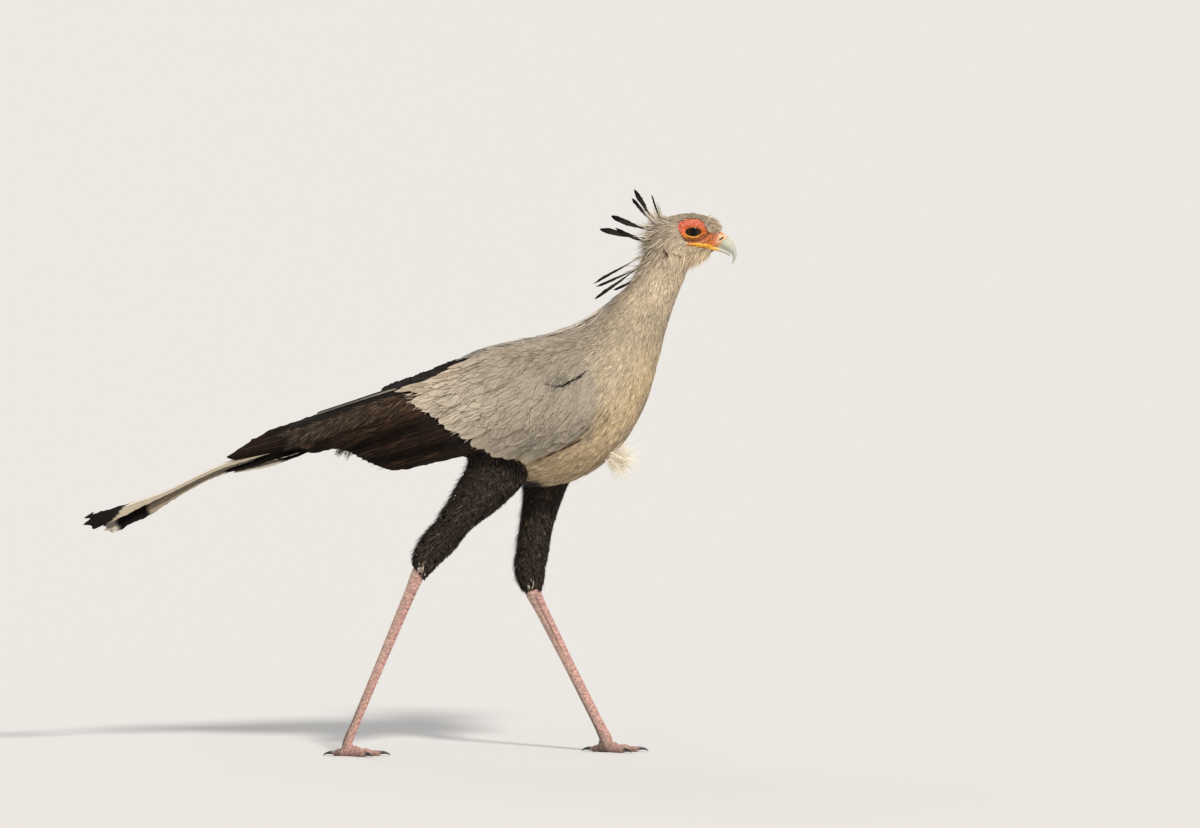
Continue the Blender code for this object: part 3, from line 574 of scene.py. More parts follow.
class Plumage:
    """Feathers of one coat piece, gathered batch by batch into one mesh."""

    def __init__(self, rng):
        self.rng = rng
        self.points, self.quads, self.tris = [], [], []
        self.tints, self.lies, self.places, self.upper = [], [], [], []
        self.total = 0

    def add(self, points, out, outline, colours, places, thick=0.0, seeds=None, patch=0.003):
        """Adds closed feathers. colours are root, tip and edge, each one for a feather."""
        count, along, across = points.shape[:3]
        if seeds is None:
            seeds = self.rng.random(count) * SEEDS
        layers = [points, points - out * thick] if thick else [points]
        low, last = along * across, (along - 1) * across
        r, k = np.meshgrid(np.arange(along - 1), np.arange(across - 1), indexing="ij")
        cell = (r * across + k).reshape(-1, 1) + np.array([0, 1, across + 1, across])
        rows = [(r * across, (r + 1) * across) for r in range(along - 1)]
        if thick:
            far = across - 1
            rims = []
            for a, b in rows:
                rims += [(a, b, b + low, a + low), (b + far, a + far, a + far + low, b + far + low)]
            for a, b in ((k, last + k) for k in range(far)):
                rims += [(a + 1, a, a + low, a + 1 + low), (b, b + 1, b + 1 + low, b + low)]
            quads = [cell, cell[:, ::-1] + low, np.array(rims)]
            tris = np.zeros((0, 3), int)
        else:
            quads = [cell, np.array([(a, b, b + across - 1, a + across - 1) for a, b in rows])]
            tris = np.array(
                [(k + 1, k, across - 1) for k in range(across - 2)]
                + [(last + k, last + k + 1, last + across - 1) for k in range(across - 2)]
            )
        quads = np.concatenate(quads)
        self.upper.append(np.tile(np.arange(len(quads)) < len(cell), count))
        starts = self.total + np.arange(count)[:, None, None] * low * len(layers)
        self.quads.append((quads + starts).reshape(-1, 4))
        self.tris.append((tris + starts).reshape(-1, 3))
        self.total += count * low * len(layers)
        t = np.broadcast_to(outline[:, 0][None, :, None], (count, along, across))
        c = np.broadcast_to(np.linspace(-1, 1, across), (count, along, across))
        root, tip, edge = (np.broadcast_to(np.asarray(colour, float), (count, 3)) for colour in colours)
        tint = root[:, None, None] + (tip - root)[:, None, None] * t[..., None]
        rim = np.maximum(ramp(np.abs(c), 0.45, 1), ramp(t, 0.8, 1))[..., None]
        tint = tint + (edge[:, None, None] - tint) * rim
        seed = np.broadcast_to(np.asarray(seeds, float)[:, None, None], t.shape)
        place = np.asarray(places, float)[:, None, None] + patch * np.stack([c / 2, t - 0.5], -1)
        for store, values in ((self.tints, tint), (self.lies, np.stack([c, t, seed], -1)),
                              (self.places, place)):
            self.store_layers(store, [values] * len(layers))
        self.store_layers(self.points, layers)

    def store_layers(self, store, layers):
        """Keeps the layers' values feather by feather: first the upper layer's, then the lower one's."""
        count, width = len(layers[0]), layers[0].shape[-1]
        rows = [layer.reshape(count, -1, width) for layer in layers]
        store.append(np.concatenate(rows, axis=1).reshape(-1, width))

    def strew(self, surface, u, v, turn, length, half, base, rise, tint, bend=0.0, factors=(1, 1, 1)):
        """Lays loose strands. factors are for the colour of root, tip and edge."""
        points, out = lay(surface, u, v, turn, length, half, WISP, 3, base, rise, bend)
        self.add(points, out, WISP, [tint * factor for factor in factors], surface.places(u, v))

    def build(self, name, material, slot, *nodes):
        thing = add_mesh(
            name, np.concatenate(self.points), np.concatenate(self.quads), np.concatenate(self.tris)
        )
        sharpen_rims(thing, np.concatenate([*self.upper, np.zeros(sum(len(tri) for tri in self.tris), bool)]))
        set_tint(thing, np.concatenate(self.tints))
        set_lie(thing, np.concatenate(self.lies))
        set_bake_map(thing, np.concatenate(self.places))
        return finish_piece(thing, material, slot, *nodes)


def vary(rng, colours, amount):
    """Colours made a little lighter or darker at random, each by its own amount."""
    return np.clip(colours * (1 + amount * rng.standard_normal((len(colours), 1))), 0, 1)


def shades(rng, colour, count, amount):
    """A number of slightly different shades of one colour."""
    return vary(rng, np.broadcast_to(colour, (count, 3)), amount)


def tones(*names):
    """Colours of the panel by their names."""
    return [np.array(getattr(bpy.context.scene.bird_colours, name)[:], float) for name in names]


def sizes():
    return bpy.context.scene.bird_sizes


# Markings, with some painted shade and light, shared by the skin and the coat


def noise(points, scale, seed=0.0):
    """A soft, repeatable unevenness between -1 and 1."""
    p = np.asarray(points) / scale + seed
    a = np.sin(p[..., 0] * 1.7 + 1.3 * np.sin(p[..., 2] * 1.1 + seed) + p[..., 1] * 0.9)
    b = np.sin(p[..., 2] * 2.3 + 1.7 * np.sin(p[..., 0] * 0.8 - seed) - p[..., 1] * 1.2)
    return (a + b + np.sin(p[..., 0] * 3.1 - p[..., 2] * 2.7 + p[..., 1] * 2.1)) / 3


def gape_band(points):
    """From -1 to 1 across the yellow band at the mouth's corner."""
    x, z = points[..., 0], points[..., 2]
    middle, half = np.interp(x, GAPE[:, 0], GAPE[:, 1]), np.interp(x, GAPE[:, 0], GAPE[:, 2])
    return (z - middle) / half + 4 * ramp(x, 480, 475)


def bare_face(points):
    """Below 1 on the bare skin round the eye and before it."""
    x, z = points[..., 0], points[..., 2]
    cheek_edge = 466 + 0.5 * np.maximum(0, 926 - z)
    round_eye = np.hypot((x - 491.5) / 29, (z - 919.5) / 22.5) + 0.12 * np.maximum(0, cheek_edge - x)
    lore = np.hypot((x - 514) / 30, (z - 903.5) / 14.5)
    soft = np.minimum(np.minimum(round_eye, lore), np.abs(gape_band(points)) * 0.96)
    return soft + 0.05 * noise(points, 3.0) + 0.05 * noise(points, 1.3, 3.0)


def body_colour(points):
    """The colour of the coat and of the skin under it, by place on the body."""
    x, z = points[..., 0], points[..., 2]
    pale, head, cream, mantle = tones("neck_beige", "head_grey", "belly_cream", "wing_grey")
    black, white = tones("black", "tail_white")
    depth = np.interp(x, [-11, 111, 225, 309, 358, 388, 409], [633, 706, 731, 762, 803, 845, 894]) - z
    colour = blend(pale, cream, ramp(depth, 120, 230) * ramp(x, 150, 260))
    colour = blend(colour, mantle, ramp(depth, 90, 20) * ramp(x, 330, 270))
    nape = ramp(depth, 42, 6) * ramp(x, 300, 350) * ramp(z, 760, 800)
    colour = blend(colour, head * 0.72, 0.75 * nape)
    colour = blend(colour, head, ramp(z, 842, 905))
    crown = ramp(z, 925, 944) * ramp(x, 425, 450)
    colour = blend(colour, head * 0.86, crown)
    cheek = hill((x - 468) / 22, (z - 892) / 15)
    colour = blend(colour, pale * 1.27, 0.9 * cheek * ramp(z, 842, 870))
    light = 0.2 * ramp(z, 800, 830) * ramp(z, 885, 860) - 0.12 * ramp(z, 720, 745) * ramp(z, 800, 780)
    colour = colour * (1 + light)[..., None]
    # Paler under the gape: partly the throat's own pale feathers, partly painted light against the shade
    # under the chin.
    throat = np.interp(x, GAPE[:, 0], GAPE[:, 1]) - z
    colour = blend(colour, pale * 1.3, 0.85 * ramp(throat, -2, 4) * ramp(x, 455, 485) * ramp(z, 838, 858))
    # Darker along the breast's front edge: partly dark under-feathers, partly painted shade.
    front = np.interp(z, [472, 495, 544, 616, 691, 744], [242, 312, 368, 409, 431, 444]) - x
    edge = ramp(front, 13, 4) * ramp(z, 500, 535) * ramp(z, 690, 630) * (0.6 + 0.4 * noise(points, 7.0))
    colour = blend(colour, head * 0.45, 0.6 * edge)
    colour = colour * (1 + 0.06 * noise(points, 16.0)[..., None])
    thigh_top = np.interp(x, [120, 150, 172, 200, 221, 262, 275], [540, 530, 510, 492, 484, 480, 400])
    thigh_top = thigh_top + 2 * noise(points, 5.0)
    rear = np.maximum(ramp(z - thigh_top, 4, -4), ramp(x, 62, 30))
    colour = blend(colour, black, rear)
    return blend(colour, white, ramp(x, 2, -16))


# Materials


def node(tree, kind, inputs=None, **settings):
    made = tree.nodes.new(kind)
    for key, value in settings.items():
        setattr(made, key, value)
    for key, value in (inputs or {}).items():
        if isinstance(value, bpy.types.NodeSocket):
            tree.links.new(value, made.inputs[key])
        else:
            made.inputs[key].default_value = value
    return made


def new_material(name, **settings):
    material = bpy.data.materials.new(name)
    material.use_nodes = True
    shader = material.node_tree.nodes["Principled BSDF"]
    for key, value in settings.items():
        shader.inputs[key.replace("_", " ").title().replace("Ior", "IOR")].default_value = value
    return material, material.node_tree, shader


def maths(tree, operation, a, b=0.0):
    return node(tree, "ShaderNodeMath", {0: a, 1: b}, operation=operation).outputs[0]


def stretched(tree, vector, factors):
    return node(tree, "ShaderNodeVectorMath", {0: vector, 1: factors}, operation="MULTIPLY").outputs[0]


def attribute(tree, name, output):
    return node(tree, "ShaderNodeAttribute", attribute_name=name).outputs[output]


def object_place(tree):
    return node(tree, "ShaderNodeTexCoord").outputs["Object"]


def paint(tree, shader, level):
    """The points' own colour, made lighter or darker by a level."""
    inputs = {0: attribute(tree, "tint", "Color"), "Scale": level}
    colour = node(tree, "ShaderNodeVectorMath", inputs, operation="SCALE").outputs[0]
    tree.links.new(colour, shader.inputs["Base Color"])


def noise_of(tree, scale, vector, detail=5.0, roughness=0.55):
    inputs = {"Scale": scale, "Detail": detail, "Roughness": roughness, "Vector": vector}
    return node(tree, "ShaderNodeTexNoise", inputs).outputs["Fac"]


def cells_of(tree, scale, vector, output, feature="F1"):
    return node(tree, "ShaderNodeTexVoronoi", {"Vector": vector, "Scale": scale},
                feature=feature).outputs[output]


def ranged(tree, value, low, high, to_low, to_high):
    return node(tree, "ShaderNodeMapRange", {0: value, 1: low, 2: high, 3: to_low, 4: to_high}).outputs[0]


def bumped(tree, shader, height, strength, distance):
    bump = node(tree, "ShaderNodeBump", {"Height": height, "Strength": strength, "Distance": distance})
    tree.links.new(bump.outputs[0], shader.inputs["Normal"])


def coat_material(name, streak, sheen):
    """Small soft feathers: the coat's colour, streaked along each feather."""
    material, tree, shader = new_material(name, roughness=0.78, sheen_weight=sheen, sheen_roughness=0.5)
    shader.inputs["Specular IOR Level"].default_value = 0.25
    strands = noise_of(tree, 1.0, stretched(tree, attribute(tree, "lie", "Vector"), (3.2, 0.8, 9.0)), 3.0)
    paint(tree, shader, ranged(tree, strands, 0.3, 0.7, 1 - streak, 1 + streak))
    bumped(tree, shader, strands, 0.25, 0.0006)
    return material


def vane_material(name, roughness, contrast):
    """Large vanes: fine barbs that run from the shaft to the edge, and a paler shaft."""
    material, tree, shader = new_material(name, roughness=roughness)
    shader.inputs["Specular IOR Level"].default_value = 0.06
    parts = node(tree, "ShaderNodeSeparateXYZ", {0: attribute(tree, "lie", "Vector")})
    across, along, number = parts.outputs
    spread = maths(tree, "ABSOLUTE", across)
    slant = maths(tree, "SUBTRACT", maths(tree, "MULTIPLY", along, 60.0),
                  maths(tree, "MULTIPLY", spread, 5.0))
    place = node(tree, "ShaderNodeCombineXYZ", {0: slant, 1: maths(tree, "MULTIPLY", spread, 1.3), 2: number})
    barbs = noise_of(tree, 1.4, place.outputs[0], roughness=0.6)
    level = ranged(tree, barbs, 0.28, 0.72, 1 - contrast, 1 + contrast)
    shaft = ranged(tree, spread, 0.0, 0.07, 1.35, 1.0)
    paint(tree, shader, maths(tree, "MULTIPLY", level, shaft))
    bumped(tree, shader, barbs, 0.35, 0.0005)
    return material


def skin_material():
    """Skin: its own colours, pebbled and finely creased."""
    material, tree, shader = new_material("skin", roughness=0.55)
    place = object_place(tree)
    pebbles = cells_of(tree, 520.0, place, "Distance")
    creases = noise_of(tree, 260.0, place)
    grain = maths(tree, "ADD", pebbles, creases)
    paint(tree, shader, ranged(tree, grain, 0.4, 1.3, 1.25, 0.7))
    bumped(tree, shader, grain, 0.5, 0.0007)
    return material


def leg_material():
    """Leg scales: small many-sided scales between darker lines, over the scutes' own colours."""
    material, tree, shader = new_material("leg_scales", roughness=0.5)
    place = object_place(tree)
    edge = cells_of(tree, 330.0, place, "Distance", "DISTANCE_TO_EDGE")
    cells = cells_of(tree, 330.0, place, "Color")
    own = ranged(tree, node(tree, "ShaderNodeSeparateColor", {0: cells}).outputs[0], 0.0, 1.0, 0.7, 1.26)
    line = ranged(tree, edge, 0.02, 0.12, 0.6, 1.0)
    mottle = ranged(tree, noise_of(tree, 70.0, place), 0.3, 0.7, 0.88, 1.12)
    paint(tree, shader, maths(tree, "MULTIPLY", maths(tree, "MULTIPLY", line, mottle), own))
    bumped(tree, shader, ranged(tree, edge, 0.0, 0.2, 0.0, 1.0), 0.45, 0.0005)
    return material


def horn_material(name, roughness):
    """Horn of the bill and claws: smooth, with faint growth streaks."""
    material, tree, shader = new_material(name, roughness=roughness, coat_weight=0.12, coat_roughness=0.25)
    streaks = noise_of(tree, 1.0, stretched(tree, object_place(tree), (60.0, 300.0, 160.0)))
    paint(tree, shader, ranged(tree, streaks, 0.3, 0.7, 0.9, 1.1))
    bumped(tree, shader, streaks, 0.15, 0.0004)
    return material


def eye_material():
    """A dark brown iris round a black pupil, under a wet surface."""
    material, tree, shader = new_material("eye", roughness=0.3, ior=1.42, coat_weight=0.2,
                                          coat_roughness=0.03)
    shader.inputs["Specular IOR Level"].default_value = 0.08
    tree.links.new(attribute(tree, "tint", "Color"), shader.inputs["Base Color"])
    return material


MATERIALS = {}


def material(name):
    """Each material, made once."""
    makers = {
        "soft_coat": lambda: coat_material("soft_coat", 0.22, 0.1),
        "dark_coat": lambda: coat_material("dark_coat", 0.45, 0.0),
        "covert_vanes": lambda: vane_material("covert_vanes", 0.7, 0.16),
        "flight_vanes": lambda: vane_material("flight_vanes", 0.6, 0.5),
        "skin": skin_material,
        "leg_scales": leg_material,
        "bill_horn": lambda: horn_material("bill_horn", 0.45),
        "claw_horn": lambda: horn_material("claw_horn", 0.35),
        "eye": eye_material,
    }
    if name not in MATERIALS:
        MATERIALS[name] = makers[name]()
    return MATERIALS[name]


# Skin, legs, horn and eyes


def tube_grid(surface, u, around, height):
    uu, vv = np.meshgrid(u, circle(around), indexing="ij")
    return surface(uu, vv, height(uu) if callable(height) else height)


def eye_frame(points):
    """How far points lie ahead of and above the eye's centre, and out of its opening, which ends at 1."""
    dx, dz = points[:, 0] - EYE[0], points[:, 2] - EYE[2]
    return dx, dz, np.hypot(dx / EYE_OPENING[0], dz / EYE_OPENING[1])


def face_relief(points):
    """Presses the eye openings, lids, brow, gape and folds into the head's skin."""
    x, y, z = points.T
    side = np.sign(y)
    reach = np.abs(y)
    dx, dz, opening = eye_frame(points)
    near = np.hypot(dx, dz)
    ball = EYE[1] + EYE_RADIUS * EYE_FLAT * np.sqrt(np.maximum(0.0, 1 - (near / EYE_RADIUS) ** 2))
    ball = np.where(near < EYE_RADIUS, ball, 0)
    on_side = ramp(reach, 6, 14) * ramp(near, 60, 45)
    groove = 1.7 * hill((opening - 2.0) / 0.3)
    brow = 2.2 * hill((dz - 14.5 + 0.004 * dx * dx) / 4.0, (dx + 2) / 20)
    folds = 0.55 * np.cos(opening * 9.5) * ramp(opening, 1.6, 2.1) * ramp(opening, 4.2, 2.8) * ramp(dz, 4, -4)
    cheek = 1.2 * hill((x - 468) / 12, (z - 893) / 10)
    band = gape_band(points)
    mouth = ramp(x, 478, 484) * ramp(x, 545, 538)
    lips = mouth * (1.5 * hill(band / 0.75) - 0.7 * hill((band + 0.25) / 0.2))
    lips = lips - mouth * 0.7 * hill((np.abs(band) - 1.25) / 0.3)
    new = reach + on_side * (brow + folds + cheek + lips - groove)
    lids = np.maximum(new, ball + 1.5)
    new = np.where((opening >= 1) & (near < EYE_RADIUS), lids, new)
    new = np.where(opening < 1, np.where(ball > 0, ball - 3.5, new), new)
    points[:, 1] = side * np.where(reach > 4, new, reach)
    return points


def face_colour(points, coat):
    """Bare face colours: red above the eye, orange before it, yellow at the gape, dark in the folds."""
    x = points[:, 0]
    dx, dz, opening = eye_frame(points)
    red, orange, yellow, dark = tones("face_red", "face_orange", "face_yellow", "face_dark")
    bare = ramp(bare_face(points), 1.02, 0.94) * ramp(np.abs(points[:, 1]), 5, 9)
    pink = np.array([0.6, 0.27, 0.17])
    high = ramp(dz, 0, 5) * ramp(x, 520, 508)
    face = blend(orange, red, np.maximum(high, ramp(dx, -10, -15) * ramp(dz, -4, 1)))
    face = blend(face, blend(orange, pink + 0.1, 0.35), ramp(x, 521, 534))
    face = blend(face, pink, 0.6 * ramp(opening, 2.0, 2.5) * ramp(dz, -9, -14) * ramp(x, 520, 508))
    fleck = ramp(noise(points, 1.15, 5.0) + 0.5 * noise(points, 2.1, 1.0), -0.12, 0.4)
    below = ramp(opening, 1.5, 1.95) * ramp(opening, 3.5, 2.8) * ramp(dz, 4, -2)
    before = ramp(dx, 14, 18) * ramp(dx, 34, 26) * ramp(dz, 9, 5) * ramp(dz, -15, -9)
    face = blend(face, dark, 0.95 * fleck * np.maximum(below, before))
    face = blend(face, dark, 0.8 * hill((opening - 1.85) / 0.16) * ramp(dz, 1, -4))
    face = blend(face, red * 0.6, 0.6 * high * ramp(noise(points, 1.0, 9.0), -0.2, 0.4))
    rear_rim = hill((bare_face(points) - 0.86) / 0.12) * ramp(dx, -6, -11) * ramp(dz, 6, 0)
    face = blend(face, dark, 0.85 * rear_rim)
    band = gape_band(points)
    flange = blend(yellow, orange, ramp(x, 496, 482) * 0.6 + 0.5 * ramp(band, -0.4, -0.9) * ramp(x, 522, 512))
    face = blend(face, flange, ramp(np.abs(band), 1.1, 0.9))
    face = blend(face, orange * 0.5, 0.6 * hill((band + 0.25) / 0.16))
    face = blend(face, dark, ramp(opening, 1.12, 0.98))
    face = face * (1 + 0.12 * noise(points, 1.6)[:, None])
    return blend(coat, face, bare)


def trunk_depth(u):
    """How far the skin lies inside the coat's outline."""
    body, head = sizes().body_coat / MM, sizes().head_coat / MM
    depth = body + (head - body) * ramp(u, section(11), section(14))
    return -(depth * ramp(u, section(22) + 0.01, section(20)) + 0.4)


def make_skin():
    """One skin without seams for head, neck and body, the thighs and the tail's root."""
    counts = [4] * 12 + [15] * 10
    rings = [np.linspace(section(i), section(i + 1), n, endpoint=False) for i, n in enumerate(counts)]
    rings = np.concatenate([*rings, [1.0]])
    points = tube_grid(trunk, rings, 180, trunk_depth)
    shape = points.shape
    flat = points.reshape(-1, 3)
    head = np.broadcast_to((rings > section(12.5))[:, None], shape[:2]).ravel()
    flat[head] = face_relief(flat[head].copy())
    skin = add_tube("body_skin", flat.reshape(shape))
    depth = -sizes().thigh_coat / MM
    others = []
    for word, surface in thighs.items():
        others.append(add_tube("thigh_skin_" + word, tube_grid(surface, np.linspace(0, 1, 60), 48, depth)))
    centre, up = tail_place(np.array([20.0, -18, -45, -80, -120, -135]))
    turns = circle(24)
    half, thick = np.array([20, 20, 22, 18, 11, 5]), np.array([14, 15, 11, 6.5, 3, 1.5])
    rings = centre[:, None] - up[:, None] * 5
    rings = rings + LEFT * np.sin(turns)[:, None] * half[:, None, None]
    rings = rings + up[:, None] * (np.cos(turns)[:, None] * thick[:, None, None])
    others.append(add_tube("tail_skin", rings))
    union(skin, others)
    skin.data.shade_smooth()
    points = mesh_points(skin)
    colour = body_colour(points)
    for rows in THIGH_ROWS.values():
        inside = (np.abs(points[:, 1] - rows[0][5]) < 30) & (points[:, 2] < 520)
        colour[inside] = tones("black")[0]
    set_tint(skin, face_colour(points, colour))
    make_papillae(points, mesh_normals(skin))
    finish_piece(skin, material("skin"), "pale_feathers", "head", "neck", "torso", "thigh_left",
                 "thigh_right")


def make_papillae(points, normals):
    """Small grains on the red skin over each eye, set on the skin's own points."""
    rng = np.random.default_rng(5)
    turns = circle(6)
    wide, high = np.array([0.4, 1.0, 0.8, 0.2]), np.array([-0.9, -0.1, 0.7, 1.0])
    (red,) = tones("face_red")
    for word, side in SIDES.items():
        dx, dz, opening = eye_frame(points)
        chosen = (points[:, 1] * side > 8) & (bare_face(points) < 0.97) & (opening > 1.6)
        chosen = np.flatnonzero(chosen & (dz > np.where(dx < -14, -6, 4)) & (points[:, 0] < 516))
        chosen = rng.choice(chosen, min(430, len(chosen)), replace=False)
        centre, out = points[chosen], normals[chosen]
        size = rng.uniform(0.5, 1.0, len(chosen))[:, None, None]
        one = unit(np.cross(out, [1.0, 0.2, 0.1]))
        two = np.cross(out, one)
        round_way = one[:, None] * np.cos(turns)[:, None] + two[:, None] * np.sin(turns)[:, None]
        grains = [
            centre[:, None] + size * (round_way * w + out[:, None] * (h * 0.75))
            for w, h in zip(wide, high)
        ]
        grains = np.stack(grains, axis=1).reshape(len(chosen), -1, 3)
        quads, tris = ring_faces(len(wide), len(turns))
        starts = (np.arange(len(chosen)) * grains.shape[1])[:, None, None]
        grain = add_mesh("face_papillae_" + word, grains, quads + starts, np.array(tris) + starts)
        light = ramp(rng.random(len(chosen)), 0.45, 0.9)
        tint = vary(rng, blend(np.broadcast_to(red, centre.shape), red * (1.3, 4.0, 5.2), 0.85 * light), 0.16)
        set_tint(grain, np.repeat(tint, grains.shape[1], axis=0))
        finish_piece(grain, material("skin"), "grey_feathers")


def shank_line(word):
    """A point inside the thigh, a shank's upper end and its lower end at the ankle."""
    rows = np.asarray(THIGH_ROWS[word], float)
    centres = np.stack([(rows[:, 0] + rows[:, 2]) / 2, rows[:, 5], (rows[:, 1] + rows[:, 3]) / 2], -1)
    ankle = np.array([*ANKLES[word], ANKLE_HEIGHT], float)
    return centres[-1] + (centres[-2] - centres[-1]) * 0.35, centres[-1], ankle


def shank_half(word, t):
    return np.interp(t, [0, 0.5, 1], SHANKS[word])


def toe_ways(word, angle):
    """A toe's way ahead and the way across it."""
    turn = math.radians(angle) * SIDES[word]
    return np.array([math.cos(turn), math.sin(turn), 0.0]), np.array([-math.sin(turn), math.cos(turn), 0.0])


def leg_shape(word):
    """A shank with its foot and toes in one skin."""
    inside, top, ankle = shank_line(word)
    turns = circle(32)
    t = np.linspace(0, 1, 40)
    knob = 1 + 0.14 * hill(t / 0.07) + 0.16 * hill((1 - t) / 0.06)
    half = shank_half(word, t) * knob - 0.3
    centres = np.concatenate([[inside], top + (ankle - top) * t[:, None], [ankle - 9 * UP]])
    half = np.concatenate([[half[0]], half, [half[-1] * 1.1]])[:, None, None]
    way = unit(np.gradient(centres, axis=0))
    across = unit(np.cross(way, AHEAD))
    up = unit(np.cross(across, way))
    rings = centres[:, None] + up[:, None] * np.cos(turns)[:, None] * half
    rings = rings + across[:, None] * np.sin(turns)[:, None] * half * 0.82
    leg = add_tube("leg_" + word, rings)
    z = np.array([23.5, 18, 11, 5, 1.0])[:, None]
    wide = np.array([1.08, 1.22, 1.36, 1.34, 1.1])[:, None] * SHANKS[word][2]
    rings = [ankle[0] + 1.05 * wide * np.cos(turns), ankle[1] + 0.9 * wide * np.sin(turns), z + 0 * turns]
    pieces = [add_tube("knob", np.stack(rings, -1))]
    turns = circle(24)
    for name, angle, length, _ in TOES:
        heading, across = toe_ways(word, angle)
        joints = {"middle": 3, "outer": 3, "inner": 2, "hind": 1}[name]
        pad = 1 + 0.09 * np.cos((t * joints + 0.15) * 2 * math.pi)
        half = TOE_HALF * (1.12 - 0.34 * t) * pad
        half[-4:] *= [0.96, 0.9, 0.8, 0.62]
        height = half * (2.5 - 0.9 * t)
        up = np.maximum(0.0, height[:, None] * (0.5 + 0.62 * np.sin(turns)))
        place = ankle * (1, 1, 0) + heading * (length * t)[:, None]
        rings = place[:, None] + across * (half[:, None] * np.cos(turns))[..., None] + UP * up[..., None]
        pieces.append(add_tube("toe_" + name, rings))
    union(leg, pieces)
    remesh = leg.modifiers.new("even", "REMESH")
    remesh.mode = "VOXEL"
    remesh.voxel_size = 1.1 * MM
    smooth = leg.modifiers.new("smooth", "SMOOTH")
    smooth.factor = 0.5
    smooth.iterations = 7
    apply_modifiers(leg)
    leg.data.shade_smooth()
    return leg


def make_leg(word):
    """A scaled leg: scutes down the front and over the toes, with pink, tan and brown scales."""
    leg = leg_shape(word)
    _, top, ankle = shank_line(word)
    points, normals = mesh_points(leg), mesh_normals(leg)
    along = (ankle - top) / np.linalg.norm(ankle - top)
    t = (points - top) @ along / np.linalg.norm(ankle - top)
    front = unit(AHEAD - along * along[0])
    facing = normals @ front
    on_shank = ramp(points[:, 2], 22, 30)
    foot = 1 - on_shank
    in_front = ramp(facing, 0.25, 0.55) * on_shank
    phase = (t * sizes().scute_count) % 1
    raised = (0.75 * phase - 0.9 * hill((phase - 0.02) / 0.09)) * in_front
    line = hill((phase - 0.02) / 0.1) * in_front
    reach = np.hypot(points[:, 0] - ankle[0], points[:, 1] - ankle[1])
    on_top = foot * ramp(normals[:, 2], 0.3, 0.6) * ramp(reach, 9, 14)
    phase = (reach / 3.4) % 1
    raised = raised + (0.4 * phase - 0.5 * hill((phase - 0.05) / 0.12)) * on_top
    line = np.maximum(line, hill((phase - 0.05) / 0.14) * on_top)
    middle = top + (ankle - top) * t[:, None]
    deep = (points - middle) @ front / (shank_half(word, t) * 0.9)
    inner = ramp(-normals[:, 1] * SIDES[word], 0.2, 0.6) * ramp(t, 0.46, 0.34) * ramp(t, 0.0, 0.05)
    groove = hill((deep - 0.12 + 0.3 * t) / 0.13) * inner
    raised = raised - 1.5 * groove
    points = points + normals * (raised * 0.75)[:, None]
    points[:, 2] = np.maximum(points[:, 2], 0.0)
    set_points(leg, points)
    pink, tan, dark = tones("leg_pink", "leg_tan", "face_dark")
    mottle = ramp(noise(points * (1, 1, 0.6), 1.3, 2.0) + 0.35 * noise(points, 7.0, 1.0), -0.35, 0.5)
    rear = ramp(deep, 0.65, -0.55)
    colour = blend(pink, tan, np.clip(0.36 * mottle + 0.62 * rear - 0.2 * ramp(facing, 0.3, 0.8), 0, 1))
    brown = tan * (0.42, 0.38, 0.34)
    colour = blend(colour, brown, 0.6 * rear * ramp(points[:, 2], 190, 25) * ramp(mottle, 0.2, 0.8))
    colour = blend(colour, brown * 1.15, 0.5 * foot * (0.5 + 0.5 * mottle))
    speck = ramp(noise(points * (1, 1, 0.6), 1.1, 8.0), 0.05, 0.6)
    colour = blend(colour, brown, 0.4 * speck * (0.5 + 0.5 * rear))
    colour = blend(colour, brown * 0.4, 0.7 * ramp(deep, -0.5, -0.85) * ramp(points[:, 2], 150, 50))
    colour = blend(colour, pink * 0.45, 0.65 * line)
    colour = blend(colour, dark, 0.8 * groove)
    colour = colour * (1 - 0.3 * ramp(points[:, 2], 14, 0))[:, None]
    set_tint(leg, colour)
    finish_piece(leg, material("leg_scales"), "leg_scales", "tarsus_" + word, "foot_" + word)


def make_claws(word):
    """A curved, pointed claw at the end of each toe."""
    tan, horn = tones("leg_tan", "claw")
    ankle = np.array([*ANKLES[word], 0.0])
    curve = math.radians(62)
    turns = circle(20)
    t = np.linspace(-0.12, 1, 30)
    free = np.maximum(t, 0)
    bend = free * curve
    drop = 4.6 * (1 - np.cos(bend)) / (1 - math.cos(curve))
    half = (3.5 * (1 - free) ** 0.8 + 0.2)[:, None]
    for name, angle, length, reach in TOES:
        heading, across = toe_ways(word, angle)
        ahead = reach * np.sin(bend) / math.sin(curve) + np.minimum(t, 0) * 20
        centre = ankle + heading * (length + 0.3 + ahead)[:, None]
        centre = centre + UP * (5.6 - drop + 0.9 * np.sin(math.pi * free))[:, None]
        normal = UP * np.cos(bend)[:, None] + heading * np.sin(bend)[:, None]
        rings = centre[:, None] + across * (half * 0.78 * np.cos(turns))[..., None]
        rings = rings + normal[:, None] * (half * np.sin(turns))[..., None]
        rings[..., 2] = np.maximum(rings[..., 2], 0.25)
        claw = add_tube(f"claw_{word}_{name}_horn", rings)
        set_tint(claw, blend(tan * 0.4, horn, np.repeat(ramp(t, 0.0, 0.25), len(turns))))
        finish_piece(claw, material("claw_horn"), "claw_horn", f"claw_{word}_{name}")


